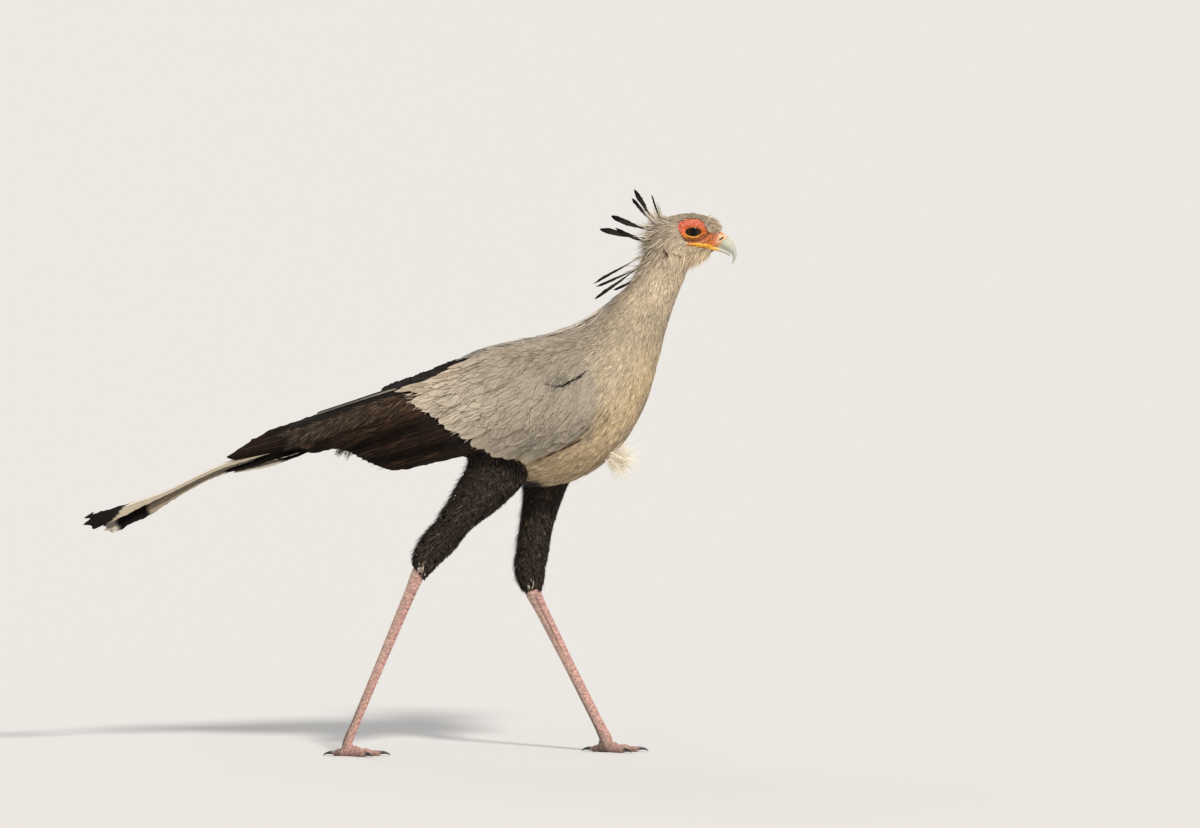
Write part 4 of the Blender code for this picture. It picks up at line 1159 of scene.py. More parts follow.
def make_bill():
    """The hooked upper bill with its cere and nostrils, and the lower bill."""
    pale, yellow, orange, dark, black = tones("bill_pale", "face_yellow", "face_orange", "face_dark", "claw")
    for name, rows in (("bill_upper", UPPER_BILL_ROWS), ("bill_lower", LOWER_BILL_ROWS)):
        points = tube_grid(tube(rows), np.linspace(0, 1, 90), 64, -0.15)
        shape = points.shape
        points = points.reshape(-1, 3)
        x, y, z = points.T
        if name == "bill_upper":
            edge = 537 + np.clip(z - 893.5, 0, 14) + 1.2 * np.sin(z * 0.5)
            cere = ramp(x - edge, 1.2, -0.8)
            cos, sin = math.cos(NOSTRIL_TILT), math.sin(NOSTRIL_TILT)
            dx, dz = x - NOSTRIL[0], z - NOSTRIL[1]
            slot = np.hypot((dx * cos + dz * sin) / NOSTRIL_HALF[0], (dz * cos - dx * sin) / NOSTRIL_HALF[1])
            hole = ramp(slot, 1.25, 0.7)
            rim = hill((slot - 1.8) / 0.5)
            out = 0.45 * cere - 2.4 * hole + 0.35 * rim
            points[:, 1] += np.sign(y) * out * ramp(np.abs(y), 2, 5)
            colour = blend(pale, pale * (0.75, 0.85, 0.95), ramp(x, 552, 566) * ramp(z, 900, 880) * 0.5)
            colour = blend(colour, pale * 0.72, 0.6 * hill((x - edge - 2.0) / 1.4))
            peach = blend(orange, np.array([0.75, 0.42, 0.26]), 0.55)
            colour = blend(colour, blend(peach, yellow, 0.7 * ramp(z, 899, 891)), cere)
            colour = blend(colour, np.array([0.8, 0.66, 0.42]), 0.7 * cere * rim)
            colour = blend(colour, dark * 0.2, hole)
        else:
            colour = blend(yellow, pale, ramp(x, 530, 543))
            under = ramp(z - np.interp(x, [500, 558], [888, 875]), 1.4, -0.4)
            colour = blend(colour, black * 2.0, under * 0.75)
        bill = add_tube(name + "_horn", points.reshape(shape))
        set_tint(bill, colour)
        finish_piece(bill, material("bill_horn"), "bill_horn", name)


def make_eyes():
    """Wet eyeballs, with the smooth rims and folds of the lids round them."""
    iris, yellow, orange, red, dark = tones("iris", "face_yellow", "face_orange", "face_red", "face_dark")
    uu, vv = np.meshgrid(np.linspace(0.02, math.pi - 0.02, 48), circle(64), indexing="ij")
    ball = np.stack([np.sin(uu) * np.cos(vv), np.cos(uu) * EYE_FLAT, np.sin(uu) * np.sin(vv)], -1)
    ball = ball * EYE_RADIUS
    for word, side in SIDES.items():
        mirror = (1, side, 1)
        centre = EYE * mirror
        eye = add_tube("eyeball_" + word, (ball * mirror + centre)[::side])
        local = mesh_points(eye) - centre
        radius = np.hypot(local[:, 0], local[:, 2])
        turn = np.arctan2(local[:, 2], local[:, 0])
        brown = iris * (1 + 0.25 * np.sin(turn * 31) * ramp(radius, 7, 9))[:, None]
        colour = blend(np.full(3, 0.002), brown, ramp(radius, 6.6, 7.2))
        set_tint(eye, blend(colour, iris * 0.3, ramp(radius, 11.2, 12.4)))
        finish_piece(eye, material("eye"), "eye", "eye_" + word)
        angle, turns = circle(96), circle(10)
        corner = hill(((angle + math.pi) % (2 * math.pi) - math.pi) / 0.3)
        for name, grow, thick, reach in (("rim", 1.09, 1.35, 2.6), ("fold", 1.33, 1.6, 4.2)):
            dx = EYE_OPENING[0] * grow * np.cos(angle) + reach * corner
            dz = EYE_OPENING[1] * grow * np.sin(angle) - 0.8 * corner
            lift = EYE_FLAT * np.sqrt(np.maximum(EYE_RADIUS**2 - dx**2 - dz**2, 0.0))
            lift = np.maximum(lift, EYE_FLAT * 5.2 - 0.1 * (np.hypot(dx, dz) - 14) ** 2)
            line = np.stack([dx, lift + 0.7, dz], -1)
            way = unit(np.roll(line, -1, axis=0) - np.roll(line, 1, axis=0))
            out = unit(line * (1 / EYE_OPENING[0], 0.05, 1 / EYE_OPENING[1]))
            up = unit(np.cross(way, out))
            ring = line[:, None] + out[:, None] * (thick * np.cos(turns))[:, None]
            ring = ring + up[:, None] * (0.8 * thick * np.sin(turns))[:, None]
            points = (ring * mirror + centre).reshape(-1, 3)
            r, k = np.meshgrid(np.arange(96), np.arange(10), indexing="ij")
            n, m = (r + 1) % 96, (k + 1) % 10
            quads = np.stack([r * 10 + k, r * 10 + m, n * 10 + m, n * 10 + k], -1).reshape(-1, 4)
            lid = add_mesh(f"lid_{name}_{word}", points, quads[:, ::side])
            x, _, z = (points - centre).T
            if name == "rim":
                colour = blend(yellow, orange, np.maximum(ramp(z, 2, 7), ramp(x, 8, 13)))
            else:
                colour = blend(orange, red, ramp(z, -1, 6) * ramp(x, 13, 6))
                colour = blend(colour, dark, 0.7 * ramp(z, -1, -7))
            set_tint(lid, colour)
            finish_piece(lid, material("skin"), "grey_feathers")


# Plumage of each part


def fine_outline(keys, count):
    t = np.linspace(0, 1, count)
    return np.stack([t, np.interp(t, *np.array(keys, float).T)], -1)


def make_crest():
    """The quill crest: club-ended black feathers, each with two fellows, and pale strands at the roots."""
    rng = np.random.default_rng(11)
    outline = fine_outline(((0, 0.14), (0.4, 0.17), (0.58, 0.6), (0.78, 1.0), (0.93, 0.85), (1, 0.2)), 22)
    t, share = outline[:, :1], outline[:, 1:]
    c = np.linspace(-1, 1, 5)
    crest = Plumage(rng)
    black, grey = tones("black", "head_grey")
    number = 0
    for spec in CREST:
        root, tip = np.array(spec[0:3], float), np.array(spec[3:6], float)
        half, roll = spec[6], math.radians(spec[7])
        bow = -0.035 if tip[2] > root[2] else 0.0
        for mirror, shrink in ((1, 1.0), (-1, 0.93), (0.2, 0.8)):
            start, end = root * (1, mirror, 1), tip * (1, mirror, 1)
            if shrink < 1:
                start = start - UP * 1.5
                end = start + (end - start) * shrink
            way = unit(end - start)
            level = unit(LEFT - way * way[1])
            across = level * math.cos(roll) + np.cross(way, level) * math.sin(roll)
            start = start - way * 14
            way = unit(end - start)
            across = unit(across - way * (across @ way))
            length = np.linalg.norm(end - start)
            spine = start + (end - start) * t + UP * (bow * length * 4 * t * (1 - t))
            reach = half * share * c
            reach = reach * (1 + 0.12 * rng.standard_normal(reach.shape) * (np.abs(c) > 0.9))
            out = np.cross(across, way)
            points = spine[:, None] + across * reach[..., None] - out * (0.15 * np.abs(reach))[..., None]
            place = [(0.1 + 0.13 * (number % 7), 0.1 + 0.18 * (number // 7))]
            crest.add(points[None], out, outline, (grey * 0.22, black * 0.8, black), place, 0.45,
                      [number * 3.7], 0.1)
            number += 1
    count = 240
    v = rng.uniform(-1.25, 1.25, count)
    u = rng.uniform(section(8.8), section(15.6), count)
    length = rng.uniform(14, 40, count) * (1 + 0.3 * ramp(u, section(14), section(15)))
    turn = rng.normal(0, 0.2, count)
    rise = rng.uniform(3, 19, count) * (1 - 0.5 * np.abs(v) / 1.25) * ramp(u, section(8.6), section(10.5))
    crest.strew(trunk, u, v, turn, length, rng.uniform(0.45, 1.15, count), -1.5, 2 + rise,
                bend=rng.normal(0, 0.15, count), tint=shades(rng, grey * 1.15, count, 0.22),
                factors=(0.8, 1, 1))
    crest.build("crest_feathers", material("flight_vanes"), "black_feathers")


def side_vanes(plumage, surface, feathers, outline, columns, first_place=0):
    """Lays single large feathers on a side surface, each from its root to its tip in x and z."""
    t, share = outline[:, 0], outline[:, 1:]
    c = np.linspace(-1, 1, columns)
    for number, feather in enumerate(feathers):
        root, tip, half = np.array(feather["root"], float), np.array(feather["tip"], float), feather["half"]
        dx, dz = tip - root
        run = np.hypot(dx, dz)
        level = np.interp(t, np.linspace(0, 1, len(feather["levels"])), feather["levels"])[:, None]
        sag = feather.get("sag", 0.0) * 4 * t * (1 - t)
        x = root[0] + dx * t + sag * dz / run
        z = root[1] + dz * t - sag * abs(dx) / run
        ragged = feather.get("ragged", 0.04)
        rough = ragged * plumage.rng.standard_normal((len(t), columns)) * (np.abs(c) > 0.9)
        reach = half * share * c * (1 + rough)
        skew = 0.12 * np.abs(reach)
        px = x[:, None] + (dx / run) * skew + (dz / run) * reach
        pz = z[:, None] + (dz / run) * skew - (dx / run) * reach
        wave = 0.25 * np.sin(t * 9 + number)[:, None] * c
        points = surface(px, pz, level - feather["tilt"] * reach + wave - 0.03 * half * c**2)
        out = unit(surface(px, pz, level + 3.0) - surface(px, pz, level))
        cell = first_place + number
        place = [(0.08 + 0.115 * (cell % 8), 0.08 + 0.115 * (cell // 8))]
        plumage.add(points[None], out[None], outline, feather["tints"], place, 0.6, [number * 5.3], 0.1)
    return first_place + len(feathers)


def make_core(word, face):
    """The dark slab under a wing's feathers."""
    black, grey = tones("black", "wing_grey")
    x = np.linspace(-12, 318, 70)[:, None]
    top, low = wing_edges(x)
    z = top + (low - top) * np.linspace(0.02, 0.86, 14)
    depth = 5.6 + 2.8 * np.clip((170 - x) / 120, 0, 1)
    thick = 5 + 7 * np.clip((x + 10) / 110, 0, 1)
    rings = np.concatenate([face(x, z, -depth), face(x, z, -depth - thick)[:, ::-1]], axis=1)
    core = add_tube(f"wing_{word}_core", rings[:, :: -SIDES[word]])
    points = mesh_points(core)
    set_tint(core, blend(black, grey * 0.6, ramp(points[:, 0], 30, 120) * ramp(points[:, 2], 560, 600)))
    finish_piece(core, material("skin"), "wing_feathers", "wing_" + word)


def make_wing(word):
    """A folded wing: a core, dark flight feathers, tertials with loose barbs, and rows of pale coverts."""
    rng = np.random.default_rng(21)
    face = wing_face(SIDES[word])
    black, brown, warm, grey = tones("black", "flight_brown", "tertial_brown", "wing_grey")
    make_core(word, face)
    flight = Plumage(rng)
    long = fine_outline(((0, 0.45), (0.1, 0.7), (0.45, 1.0), (0.85, 0.95), (0.95, 0.72), (1, 0.2)), 44)
    blunt = fine_outline(((0, 0.4), (0.1, 0.7), (0.4, 1.0), (0.9, 1.0), (0.97, 0.85), (1, 0.45)), 44)

    def feather(root, tip, half, levels, tilt, tints, **more):
        return {"root": root, "tip": tip, "half": half, "levels": levels, "tilt": tilt, "tints": tints,
                **more}

    feathers = []
    for i in range(7):
        s = i / 6
        tip = smooth_curve(((-323, 522), (-300, 537), (-268, 552)), s)
        root = smooth_curve(((-4, 570), (-4, 606), (-4, 634)), s)
        levels = [h + 0.42 * i for h in (-10.5, -8.6, -6.4, -3.4)]
        tint = vary(rng, np.stack([black, black, brown * 0.6]), 0.1)
        feathers.append(feather(root, tip, 13, levels, 0.05, tint, sag=5 - 8 * s, ragged=0.08))
    roots = ((186, 560), (124, 610), (62, 664))
    tips = ((-45, 507), (-70, 515), (-92, 525), (-114, 537), (-150, 543), (-196, 549), (-236, 559))
    for i in range(15):
        s = i / 14
        tip = smooth_curve(tips, s)
        lit = blend(black, brown, np.clip(0.25 + 0.75 * s + 0.45 * math.sin(1.25 * i + 1.0), 0, 1.3))
        tint = vary(rng, np.stack([lit * 1.3, lit, blend(black, brown, 0.1 + 0.3 * s)]), 0.15)
        feathers.append(feather(smooth_curve(roots, s), tip, 14, (-6.5, -4.2, -1.2), 0.135, tint, sag=-3))
    place = side_vanes(flight, face, feathers, long, 9)
    shafts = (((-60, 577), (-318, 523), -2.6), ((-60, 598), (-304, 534), -1.6),
              ((-60, 617), (-282, 546), -0.8))
    feathers = [feather(root, tip, 0.55, (-4, top, top), 0.0, [brown * 1.7] * 3) for root, tip, top in shafts]
    place = side_vanes(flight, face, feathers, long, 3, place)
    dark = (warm * 0.8, warm, warm * 1.2)
    tertials = (
        ((50, 640), (-196, 547), 16, -0.9, dark),
        ((56, 646), (-207, 553), 16, 0.1, dark),
        ((60, 653), (-217, 560), 14.5, 1.1, dark),
        ((56, 667), (-212, 572), 7, 1.7, (grey * 0.03, black, black)),
        ((50, 671), (-165, 596), 1.2, 2.6, (grey * 1.1, black, grey * 1.1 * 0.4)),
    )
    feathers = [
        feather(root, tip, half, (-5, top - 2.5, top), 0.05, tint, ragged=0.08)
        for root, tip, half, top, tint in tertials
    ]
    place = side_vanes(flight, face, feathers, blunt, 9, place)
    inner = (
        ((112, 686), (-52, 640), 9),
        ((113, 691), (-28, 646), 10),
        ((114, 696), (2, 656), 9.5),
        ((115, 701), (38, 671), 8),
    )
    feathers = []
    for i, (root, tip, half) in enumerate(inner):
        tint = vary(rng, np.stack([black, black, black * 1.5]), 0.1)
        levels = [h + 0.5 * i for h in (-4.0, -3.0, -1.6)]
        feathers.append(feather(root, tip, half, levels, 0.03, tint, sag=2, ragged=0.07))
    side_vanes(flight, face, feathers, long, 7, place)
    add_barbs(flight, face)
    flight.build(f"wing_{word}_flight_feathers", material("flight_vanes"), "wing_feathers", "wing_" + word)
    make_coverts(word)


def add_barbs(flight, face):
    """Loose barbs over the tertials, fine streaks on the secondaries and grey ones at their lower edge."""
    rng = flight.rng
    brown, warm, grey = tones("flight_brown", "tertial_brown", "wing_grey")
    count = 2250
    s = rng.random(count)
    line = np.array([-8, 632]) + np.array([-206, -72]) * s[:, None]
    down = rng.uniform(-7, 17, count)
    u, v = line[:, 0] + down * 0.33, line[:, 1] - down * 0.94
    turn = -np.radians(rng.normal(47, 6, count) - 12 * (down < 0))
    length = rng.uniform(14, 34, count) * (1 - 0.35 * s)
    half, base = rng.uniform(0.4, 0.85, count), rng.uniform(0.6, 2.2, count)
    bend = rng.normal(0.15, 0.1, count)
    clump = 0.75 + 0.35 * noise(np.stack([u, 0 * u, v], -1), 9.0)
    shade = rng.choice([0.45, 0.9, 1.7, 3.2], count, p=[0.42, 0.32, 0.18, 0.08]) * clump
    flight.strew(face, u, v, turn, length, half, base, 0.7, blend(warm, grey * 0.2, 0.5 * s) * shade[:, None],
                 bend)

    count = 520
    s, t = rng.random(count) ** 0.7, rng.random(count)
    tips = smooth_curve(((-45, 507), (-78, 519), (-110, 530.5), (-150, 538.5), (-198, 545.5)), s)
    roots = smooth_curve(((186, 560), (124, 610), (62, 664)), s)
    spot = roots + (tips - roots) * (0.35 + 0.55 * t)[:, None]
    turn = -np.radians(rng.normal(22, 5, count))
    length, half = rng.uniform(18, 40, count), rng.uniform(0.35, 0.8, count)
    base = rng.uniform(0.2, 1.2, count)
    shade = rng.choice([0.4, 1.0, 1.6], count, p=[0.45, 0.4, 0.15]) * (0.9 + 0.65 * np.sin(17.5 * s + 1.0))
    flight.strew(face, *spot.T, turn, length, half, base, 0.6, brown * shade[:, None])

    count = 46
    x = rng.uniform(-128, -97, count)
    z = np.interp(x, [-198, -150, -110, -78], [546, 539, 531, 520]) + rng.uniform(0, 6, count)
    turn = -np.radians(rng.normal(48, 16, count))
    length, half, base = rng.uniform(8, 19, count), rng.uniform(0.25, 0.5, count), rng.uniform(-1, 1, count)
    flight.strew(face, x, z, turn, length, half, base, 0.5, shades(rng, grey * 0.6, count, 0.3))


def back_depth(spot):
    """How far places on the side lie under the back's outline."""
    return back_line(spot[:, 0]) - spot[:, 1]


def covert_slope(spot):
    """How steeply the wing's small feathers point down and back, by place."""
    depth = back_depth(spot)
    steep = ramp(depth, 20, 75) * ramp(spot[:, 0], 40, 150)
    return np.radians(24 + steep * (27 - 11 * ramp(depth, 120, 195)))


def spots_in(rng, x_range, z_range, count):
    return np.stack([rng.uniform(*x_range, count), rng.uniform(*z_range, count)], -1)


def covert_shades(rng, tip, spread=0.04):
    """The coverts' colours by the places of their tips."""
    x, z = tip.T
    count = len(tip)
    grey, edge, dusty = tones("wing_grey", "wing_edge", "wing_dust")
    base = grey * (1 + 0.07 * noise(np.stack([x, 0 * x, z], -1), 24.0))[:, None]
    base = blend(base, edge, rng.uniform(0, 0.45, count))
    depth = back_depth(tip)
    warm = ramp(depth, 75, 20) * (rng.random(count) < 0.4)
    base = blend(base, dusty, 0.9 * warm * rng.random(count))
    rear = ramp(x, 185, 40) * ramp(z, 540, 585) * ramp(depth, 15, 45)
    base = base * (1 + 0.53 * rear)[:, None]
    base = base * (1 - 0.14 * ramp(depth, 100, 55) * ramp(x, 60, 110))[:, None]
    # Painted shade: the lower front coverts are darkened, each by its own random amount.
    low_front = ramp(z, 580, 545) * ramp(x, 140, 200)
    base = base * (1 - low_front * rng.uniform(0.1, 0.4, count))[:, None]
    border = ramp(black_line(x) - z, 22, 6) * ramp(x, 90, 50)
    return vary(rng, base * (1 + 0.25 * border)[:, None], spread)


def add_coverts(coverts, surface, tip, slope, length, half, outline, low, high, columns=5,
                thick=0.5, spread=0.04, skew=0.0, lean=0.03):
    """Lays coverts by the places of their tips, kept below the black feathers' edge."""
    rng = coverts.rng
    count = len(tip)
    x = tip[:, 0]
    near = 0.85 * ramp(black_line(x) - tip[:, 1], 45, 8) * ramp(x, 100, 85)
    fall = np.arctan2(black_line(x + 25) - black_line(x), 25)
    slope = slope + (fall - slope) * near
    heading = np.stack([np.cos(slope), np.sin(slope)], -1)
    tip = tip.copy()
    for share in (0, 0.35, 0.7, 1):
        x, z = (tip + share * length[:, None] * heading).T
        top = np.minimum(black_line(x), back_line(x) - 3)
        tip[:, 1] -= np.maximum(0, z + (0.3 + 0.5 * min(1, 2 * share)) * half - top)
    root = tip + heading * length[:, None]
    base = low + rng.uniform(-0.3, 0.3, count)
    top = high + rng.uniform(-0.35, 0.35, count)
    bend, tilt = rng.normal(0, 0.06, count), rng.normal(lean, 0.03, count)
    points, out = lay(surface, *root.T, -slope, length, half, outline, columns, base, top - base, bend, tilt,
                      0.07, skew)
    tint = covert_shades(rng, tip, spread)
    rim = blend(tint, tones("wing_edge")[0] * 1.1, rng.uniform(0.1, 0.6, count))
    coverts.add(points, out, outline, (tint * 0.88, tint, rim), side_places(*tip.T), thick)


def make_coverts(word):
    """Rows of large coverts, then smaller ones over the shoulder, with loose barbs between them."""
    rng = np.random.default_rng(27)
    side = SIDES[word]
    grey, dusty, black, dark = tones("wing_grey", "wing_dust", "black", "face_dark")
    coverts = Plumage(rng)
    surface = flank(side)
    add_rows(coverts, surface, side)

    spot = spots_in(rng, (-25, 345), (515, 780), 9000)
    x, z = spot.T
    depth = back_depth(spot)
    rear = np.interp(
        x, [-30, 4, 28, 50, 91, 134, 163, 196, 268, 330], [640, 642, 642, 636, 612, 588, 580, 574, 584, 596]
    )
    front = np.interp(z, [540, 570, 600, 640, 680, 720, 760], [270, 300, 318, 326, 332, 340, 345])
    keep = (z < black_line(x)) & (depth > 5) & (z > rear) & (x < front)
    small = ramp(x, 90, 300) * ramp(depth, 5, 60)
    keep &= rng.random(len(spot)) < 0.2 + 0.8 * small
    spot, small, depth = spot[keep], small[keep], depth[keep]
    count = len(spot)
    slope = covert_slope(spot) + rng.normal(0, 0.09, count)
    length = (56 - 27 * small) * rng.uniform(0.85, 1.15, count)
    half = (8.6 - 4.9 * small - 1.6 * ramp(depth, 50, 25)) * rng.uniform(0.8, 1.15, count)
    length = np.minimum(length, np.maximum(12, (depth + 4) / np.maximum(np.sin(slope), 0.2)))
    add_coverts(coverts, surface, spot, slope, length, half, LEAF, -1.2 + small, 1.3, 3, 0.0)

    tips = np.array([(-36, 637), (-24, 644), (-8, 651), (12, 657), (34, 665), (60, 676), (84, 688)])
    spot, slope = tips + rng.normal(0, 1, tips.shape), np.radians(rng.normal(22, 2, len(tips)))
    add_coverts(coverts, surface, spot, slope, np.full(len(tips), 74.0), 6.0, LEAF, 0.4, 3.0)

    spot = spots_in(rng, (-5, 340), (520, 770), 6000)
    x, z = spot.T
    front = np.interp(z, [530, 570, 600, 640, 680, 720, 760], [285, 312, 328, 336, 342, 350, 355])
    rear = np.interp(x, [-6, 4, 28, 50, 91, 134, 196, 268, 330],
                     [630, 612, 600, 590, 562, 538, 522, 556, 580])
    keep = (z < black_line(x) - 4) & (back_depth(spot) > 14) & (z > rear + 8) & (x < front)
    spot = spot[keep & (rng.random(len(spot)) < 0.3 + 0.7 * ramp(x, 180, 300))]
    count = len(spot)
    slope = covert_slope(spot) + rng.normal(0, 0.14, count)
    tint = covert_shades(rng, spot) * rng.uniform(0.75, 1.3, (count, 1))
    coverts.strew(surface, *spot.T, -slope, rng.uniform(10, 24, count), rng.uniform(0.4, 0.95, count),
                  rng.uniform(0.2, 1.6, count), rng.uniform(0.8, 2.4, count), tint, rng.normal(0, 0.2, count),
                  (0.9, 1, 1.1))

    spot = spots_in(rng, (20, 300), (540, 720), 300)
    lowest = np.interp(spot[:, 0], [4, 50, 91, 134, 196, 300], [640, 615, 590, 570, 555, 580])
    spot = spot[(back_depth(spot) > 12) & (spot[:, 1] > lowest)]
    count = len(spot)
    slope = covert_slope(spot) + rng.normal(0.2, 0.16, count)
    coverts.strew(surface, *spot.T, -slope, rng.uniform(16, 38, count), rng.uniform(0.22, 0.42, count),
                  1.7, 0.4, bend=rng.normal(0, 0.3, count), tint=shades(rng, dusty * 0.55, count, 0.25))

    # Dark strands fill the slit between the shoulder feathers and the coverts: painted shade in the gap.
    slit = np.array([(310, 681), (298, 670), (285, 662), (272, 655), (258, 652), (246, 653)])
    count = 70
    share = rng.random(count) ** 1.2
    spot = smooth_curve(slit, share) + rng.normal(0, 0.4, (count, 2))
    ahead = smooth_curve(slit, np.minimum(share + 0.05, 1)) - smooth_curve(slit, np.maximum(share - 0.05, 0))
    turn = np.arctan2(ahead[:, 1], -ahead[:, 0]) + rng.normal(0, 0.05, count)
    wide = np.interp(share, [0, 0.15, 0.45, 0.62, 1], [1.0, 2.8, 3.2, 1.4, 0.4])
    tint = blend(black, grey * 0.5, ramp(share, 0.5, 1.0))
    coverts.strew(surface, *spot.T, turn, rng.uniform(12, 19, count), wide, 1.6, 1.4, tint)
    # Strands over the slit's lower edge, half of them in a greyer patch beside it as painted shadow.
    count = 150
    share = rng.random(count)
    spot = smooth_curve(slit, share) + np.stack([rng.normal(0, 2, count), rng.uniform(-3, 0.5, count)], -1)
    patch = rng.random(count) < 0.5
    spot[patch] = np.array([262, 664]) + rng.normal(0, 1, (int(patch.sum()), 2)) * (11, 9)
    turn = -np.radians(rng.normal(52, 16, count))
    length, half = rng.uniform(7, 15, count), rng.uniform(0.4, 0.9, count)
    tint = np.where(patch[:, None], grey * 0.66, grey * rng.choice([0.5, 1.15], (count, 1), p=[0.3, 0.7]))
    coverts.strew(surface, *spot.T, turn, length, half, 1.0, 2.6, tint)

    # Dark strands along the wing's lower front edge: painted shadow under it.
    count = 34
    spot = smooth_curve(((301, 558), (278, 546), (255, 536), (226, 523)), rng.random(count))
    spot = spot + rng.normal(0, 0.8, (count, 2))
    turn = -np.radians(rng.normal(24, 3, count))
    length, half = rng.uniform(14, 22, count), rng.uniform(0.3, 0.65, count)
    coverts.strew(surface, *spot.T, turn, length, half, 0.2, 0.8, dark * 0.8)

    count = 420
    z = rng.uniform(556, 712, count)
    x = np.interp(z, [550, 570, 600, 640, 680, 720], [302, 318, 332, 340, 344, 350])
    x = x + rng.uniform(-8, 22, count)
    turn = -np.radians(rng.normal(50, 9, count))
    length, half = rng.uniform(16, 34, count), rng.uniform(0.45, 0.85, count)
    rise, bend = rng.uniform(0.8, 2.6, count), rng.normal(0, 0.2, count)
    picks = rng.choice([0.6, 0.9, 1.2, 1.5], (count, 1), p=[0.2, 0.3, 0.3, 0.2])
    tint = body_colour(np.stack([x, 0 * x, z], -1)) * picks
    tint = blend(tint, grey, 0.6 * ramp(x, 334, 316))
    coverts.strew(surface, x, z, turn, length, half, 0.6, rise, tint, bend, (0.9, 1, 1))
    coverts.build(f"wing_{word}_coverts", material("covert_vanes"), "wing_feathers", "wing_" + word)


def add_rows(coverts, surface, side):
    """The rows of large coverts, each higher up than the last, with a thin dark line along each feather as
    painted shadow under its edge.
    """
    rng = coverts.rng
    (grey,) = tones("wing_grey")
    tips = (
        (268, 548), (232, 530), (196, 514), (163, 522), (134, 531), (112, 543), (91, 556), (70, 570),
        (50, 583), (28, 595), (4, 606), (-8, 622), (-20, 634),
    )
    slopes = np.array([44, 42, 39, 35, 32, 30, 28, 27, 26, 25, 24, 24, 24])[:, None]
    rows = ((0, 18, 100, 12.5), (38, 18, 90, 12), (66, 20, 78, 11), (90, 24, 68, 9.5), (110, 28, 60, 8.5))
    for number, (shift, count, long, wide) in enumerate(rows):
        s = (np.arange(count) + 0.5 + 0.5 * (number % 2) + rng.uniform(-0.22, 0.22, count)) / (count + 0.5)
        slope = smooth_curve(slopes, s)[:, 0] + number * 3.0 * ramp(s, 0.8, 0.3) + rng.normal(0, 3.5, count)
        slope = np.radians(slope)
        heading = np.stack([np.cos(slope), np.sin(slope)], -1)
        tip = smooth_curve(tips, s) + heading * (shift + rng.normal(0, 3, (count, 1)))
        keep = tip[:, 1] < black_line(tip[:, 0])
        tip, slope, heading, count = tip[keep], slope[keep], heading[keep], int(keep.sum())
        length = long * rng.uniform(0.92, 1.06, count)
        half = wide * rng.uniform(0.85, 1.12, count)
        add_coverts(coverts, surface, tip, slope, length, half, BLADE, -2.8, 0.9 + 0.16 * number,
                    spread=0.12 - 0.015 * number, skew=0.55 * side, lean=0.085)
        # Thin dark strands along one edge of each covert: painted shadow under it.
        aside = np.stack([heading[:, 1], -heading[:, 0]], -1)
        spot = tip + heading * 0.78 * length[:, None] + aside * 0.75 * wide
        coverts.strew(surface, *spot.T, -slope, 0.72 * length, rng.uniform(0.25, 0.5, count), 1.0, 1.3,
                      bend=rng.normal(0, 0.04, count), tint=shades(rng, grey * 0.36, count, 0.2))


# The two long tail feathers: x, upper edge z and lower edge z as they show from the side.
LONG_TAIL = (
    np.array(
        [(-575, 417, 396), (-556, 422, 396), (-540, 427, 402), (-520, 433, 412), (-490, 442, 427),
         (-469, 448.5, 438), (-440, 459, 451.5), (-418, 468.5, 462), (-367, 494, 488), (-330, 511, 504),
         (-290, 526, 516), (-230, 547, 535), (-120, 584, 574)]
    ),
    np.array(
        [(-541, 402, 390), (-530, 411, 387.5), (-513, 420, 393), (-500, 427, 399), (-487, 433, 410),
         (-470, 438, 414), (-461, 441, 416), (-448, 447, 428), (-433, 454, 437), (-418, 461, 447),
         (-402, 470, 458), (-384, 479, 467), (-367, 487, 478), (-330, 502, 493), (-290, 515, 505),
         (-230, 536, 522), (-120, 577, 566)]
    ),
)
LONG_TAIL_HALF = ((-575, 15), (-540, 17), (-490, 15.5), (-440, 12.5), (-367, 11), (-290, 12), (-120, 12))


def add_vane(tail, spine, across, out, reach, outline, number, colour, shift):
    """One tail feather from its spine and its reach to both sides. shift moves its points to fray the end."""
    rough = tail.rng.standard_normal(reach.shape) * (np.abs(np.linspace(-1, 1, reach.shape[1])) > 0.9)
    reach = reach * (1 + 0.05 * rough)
    sunk = (0.07 * np.abs(reach))[..., None]
    points = spine[:, None] + across[:, None] * reach[..., None] - out[:, None] * sunk
    place = [(0.08 + 0.16 * (number % 6), 0.08 + 0.2 * (number // 6))]
    tail.add(points[None], out[:, None], outline, np.zeros((3, 3)), place, 0.55, [number * 4.1], 0.14)
    tail.tints[-1] = np.tile(colour.reshape(-1, 3), (2, 1))
    tail.points[-1] += np.tile(shift.reshape(-1, 3), (2, 1))


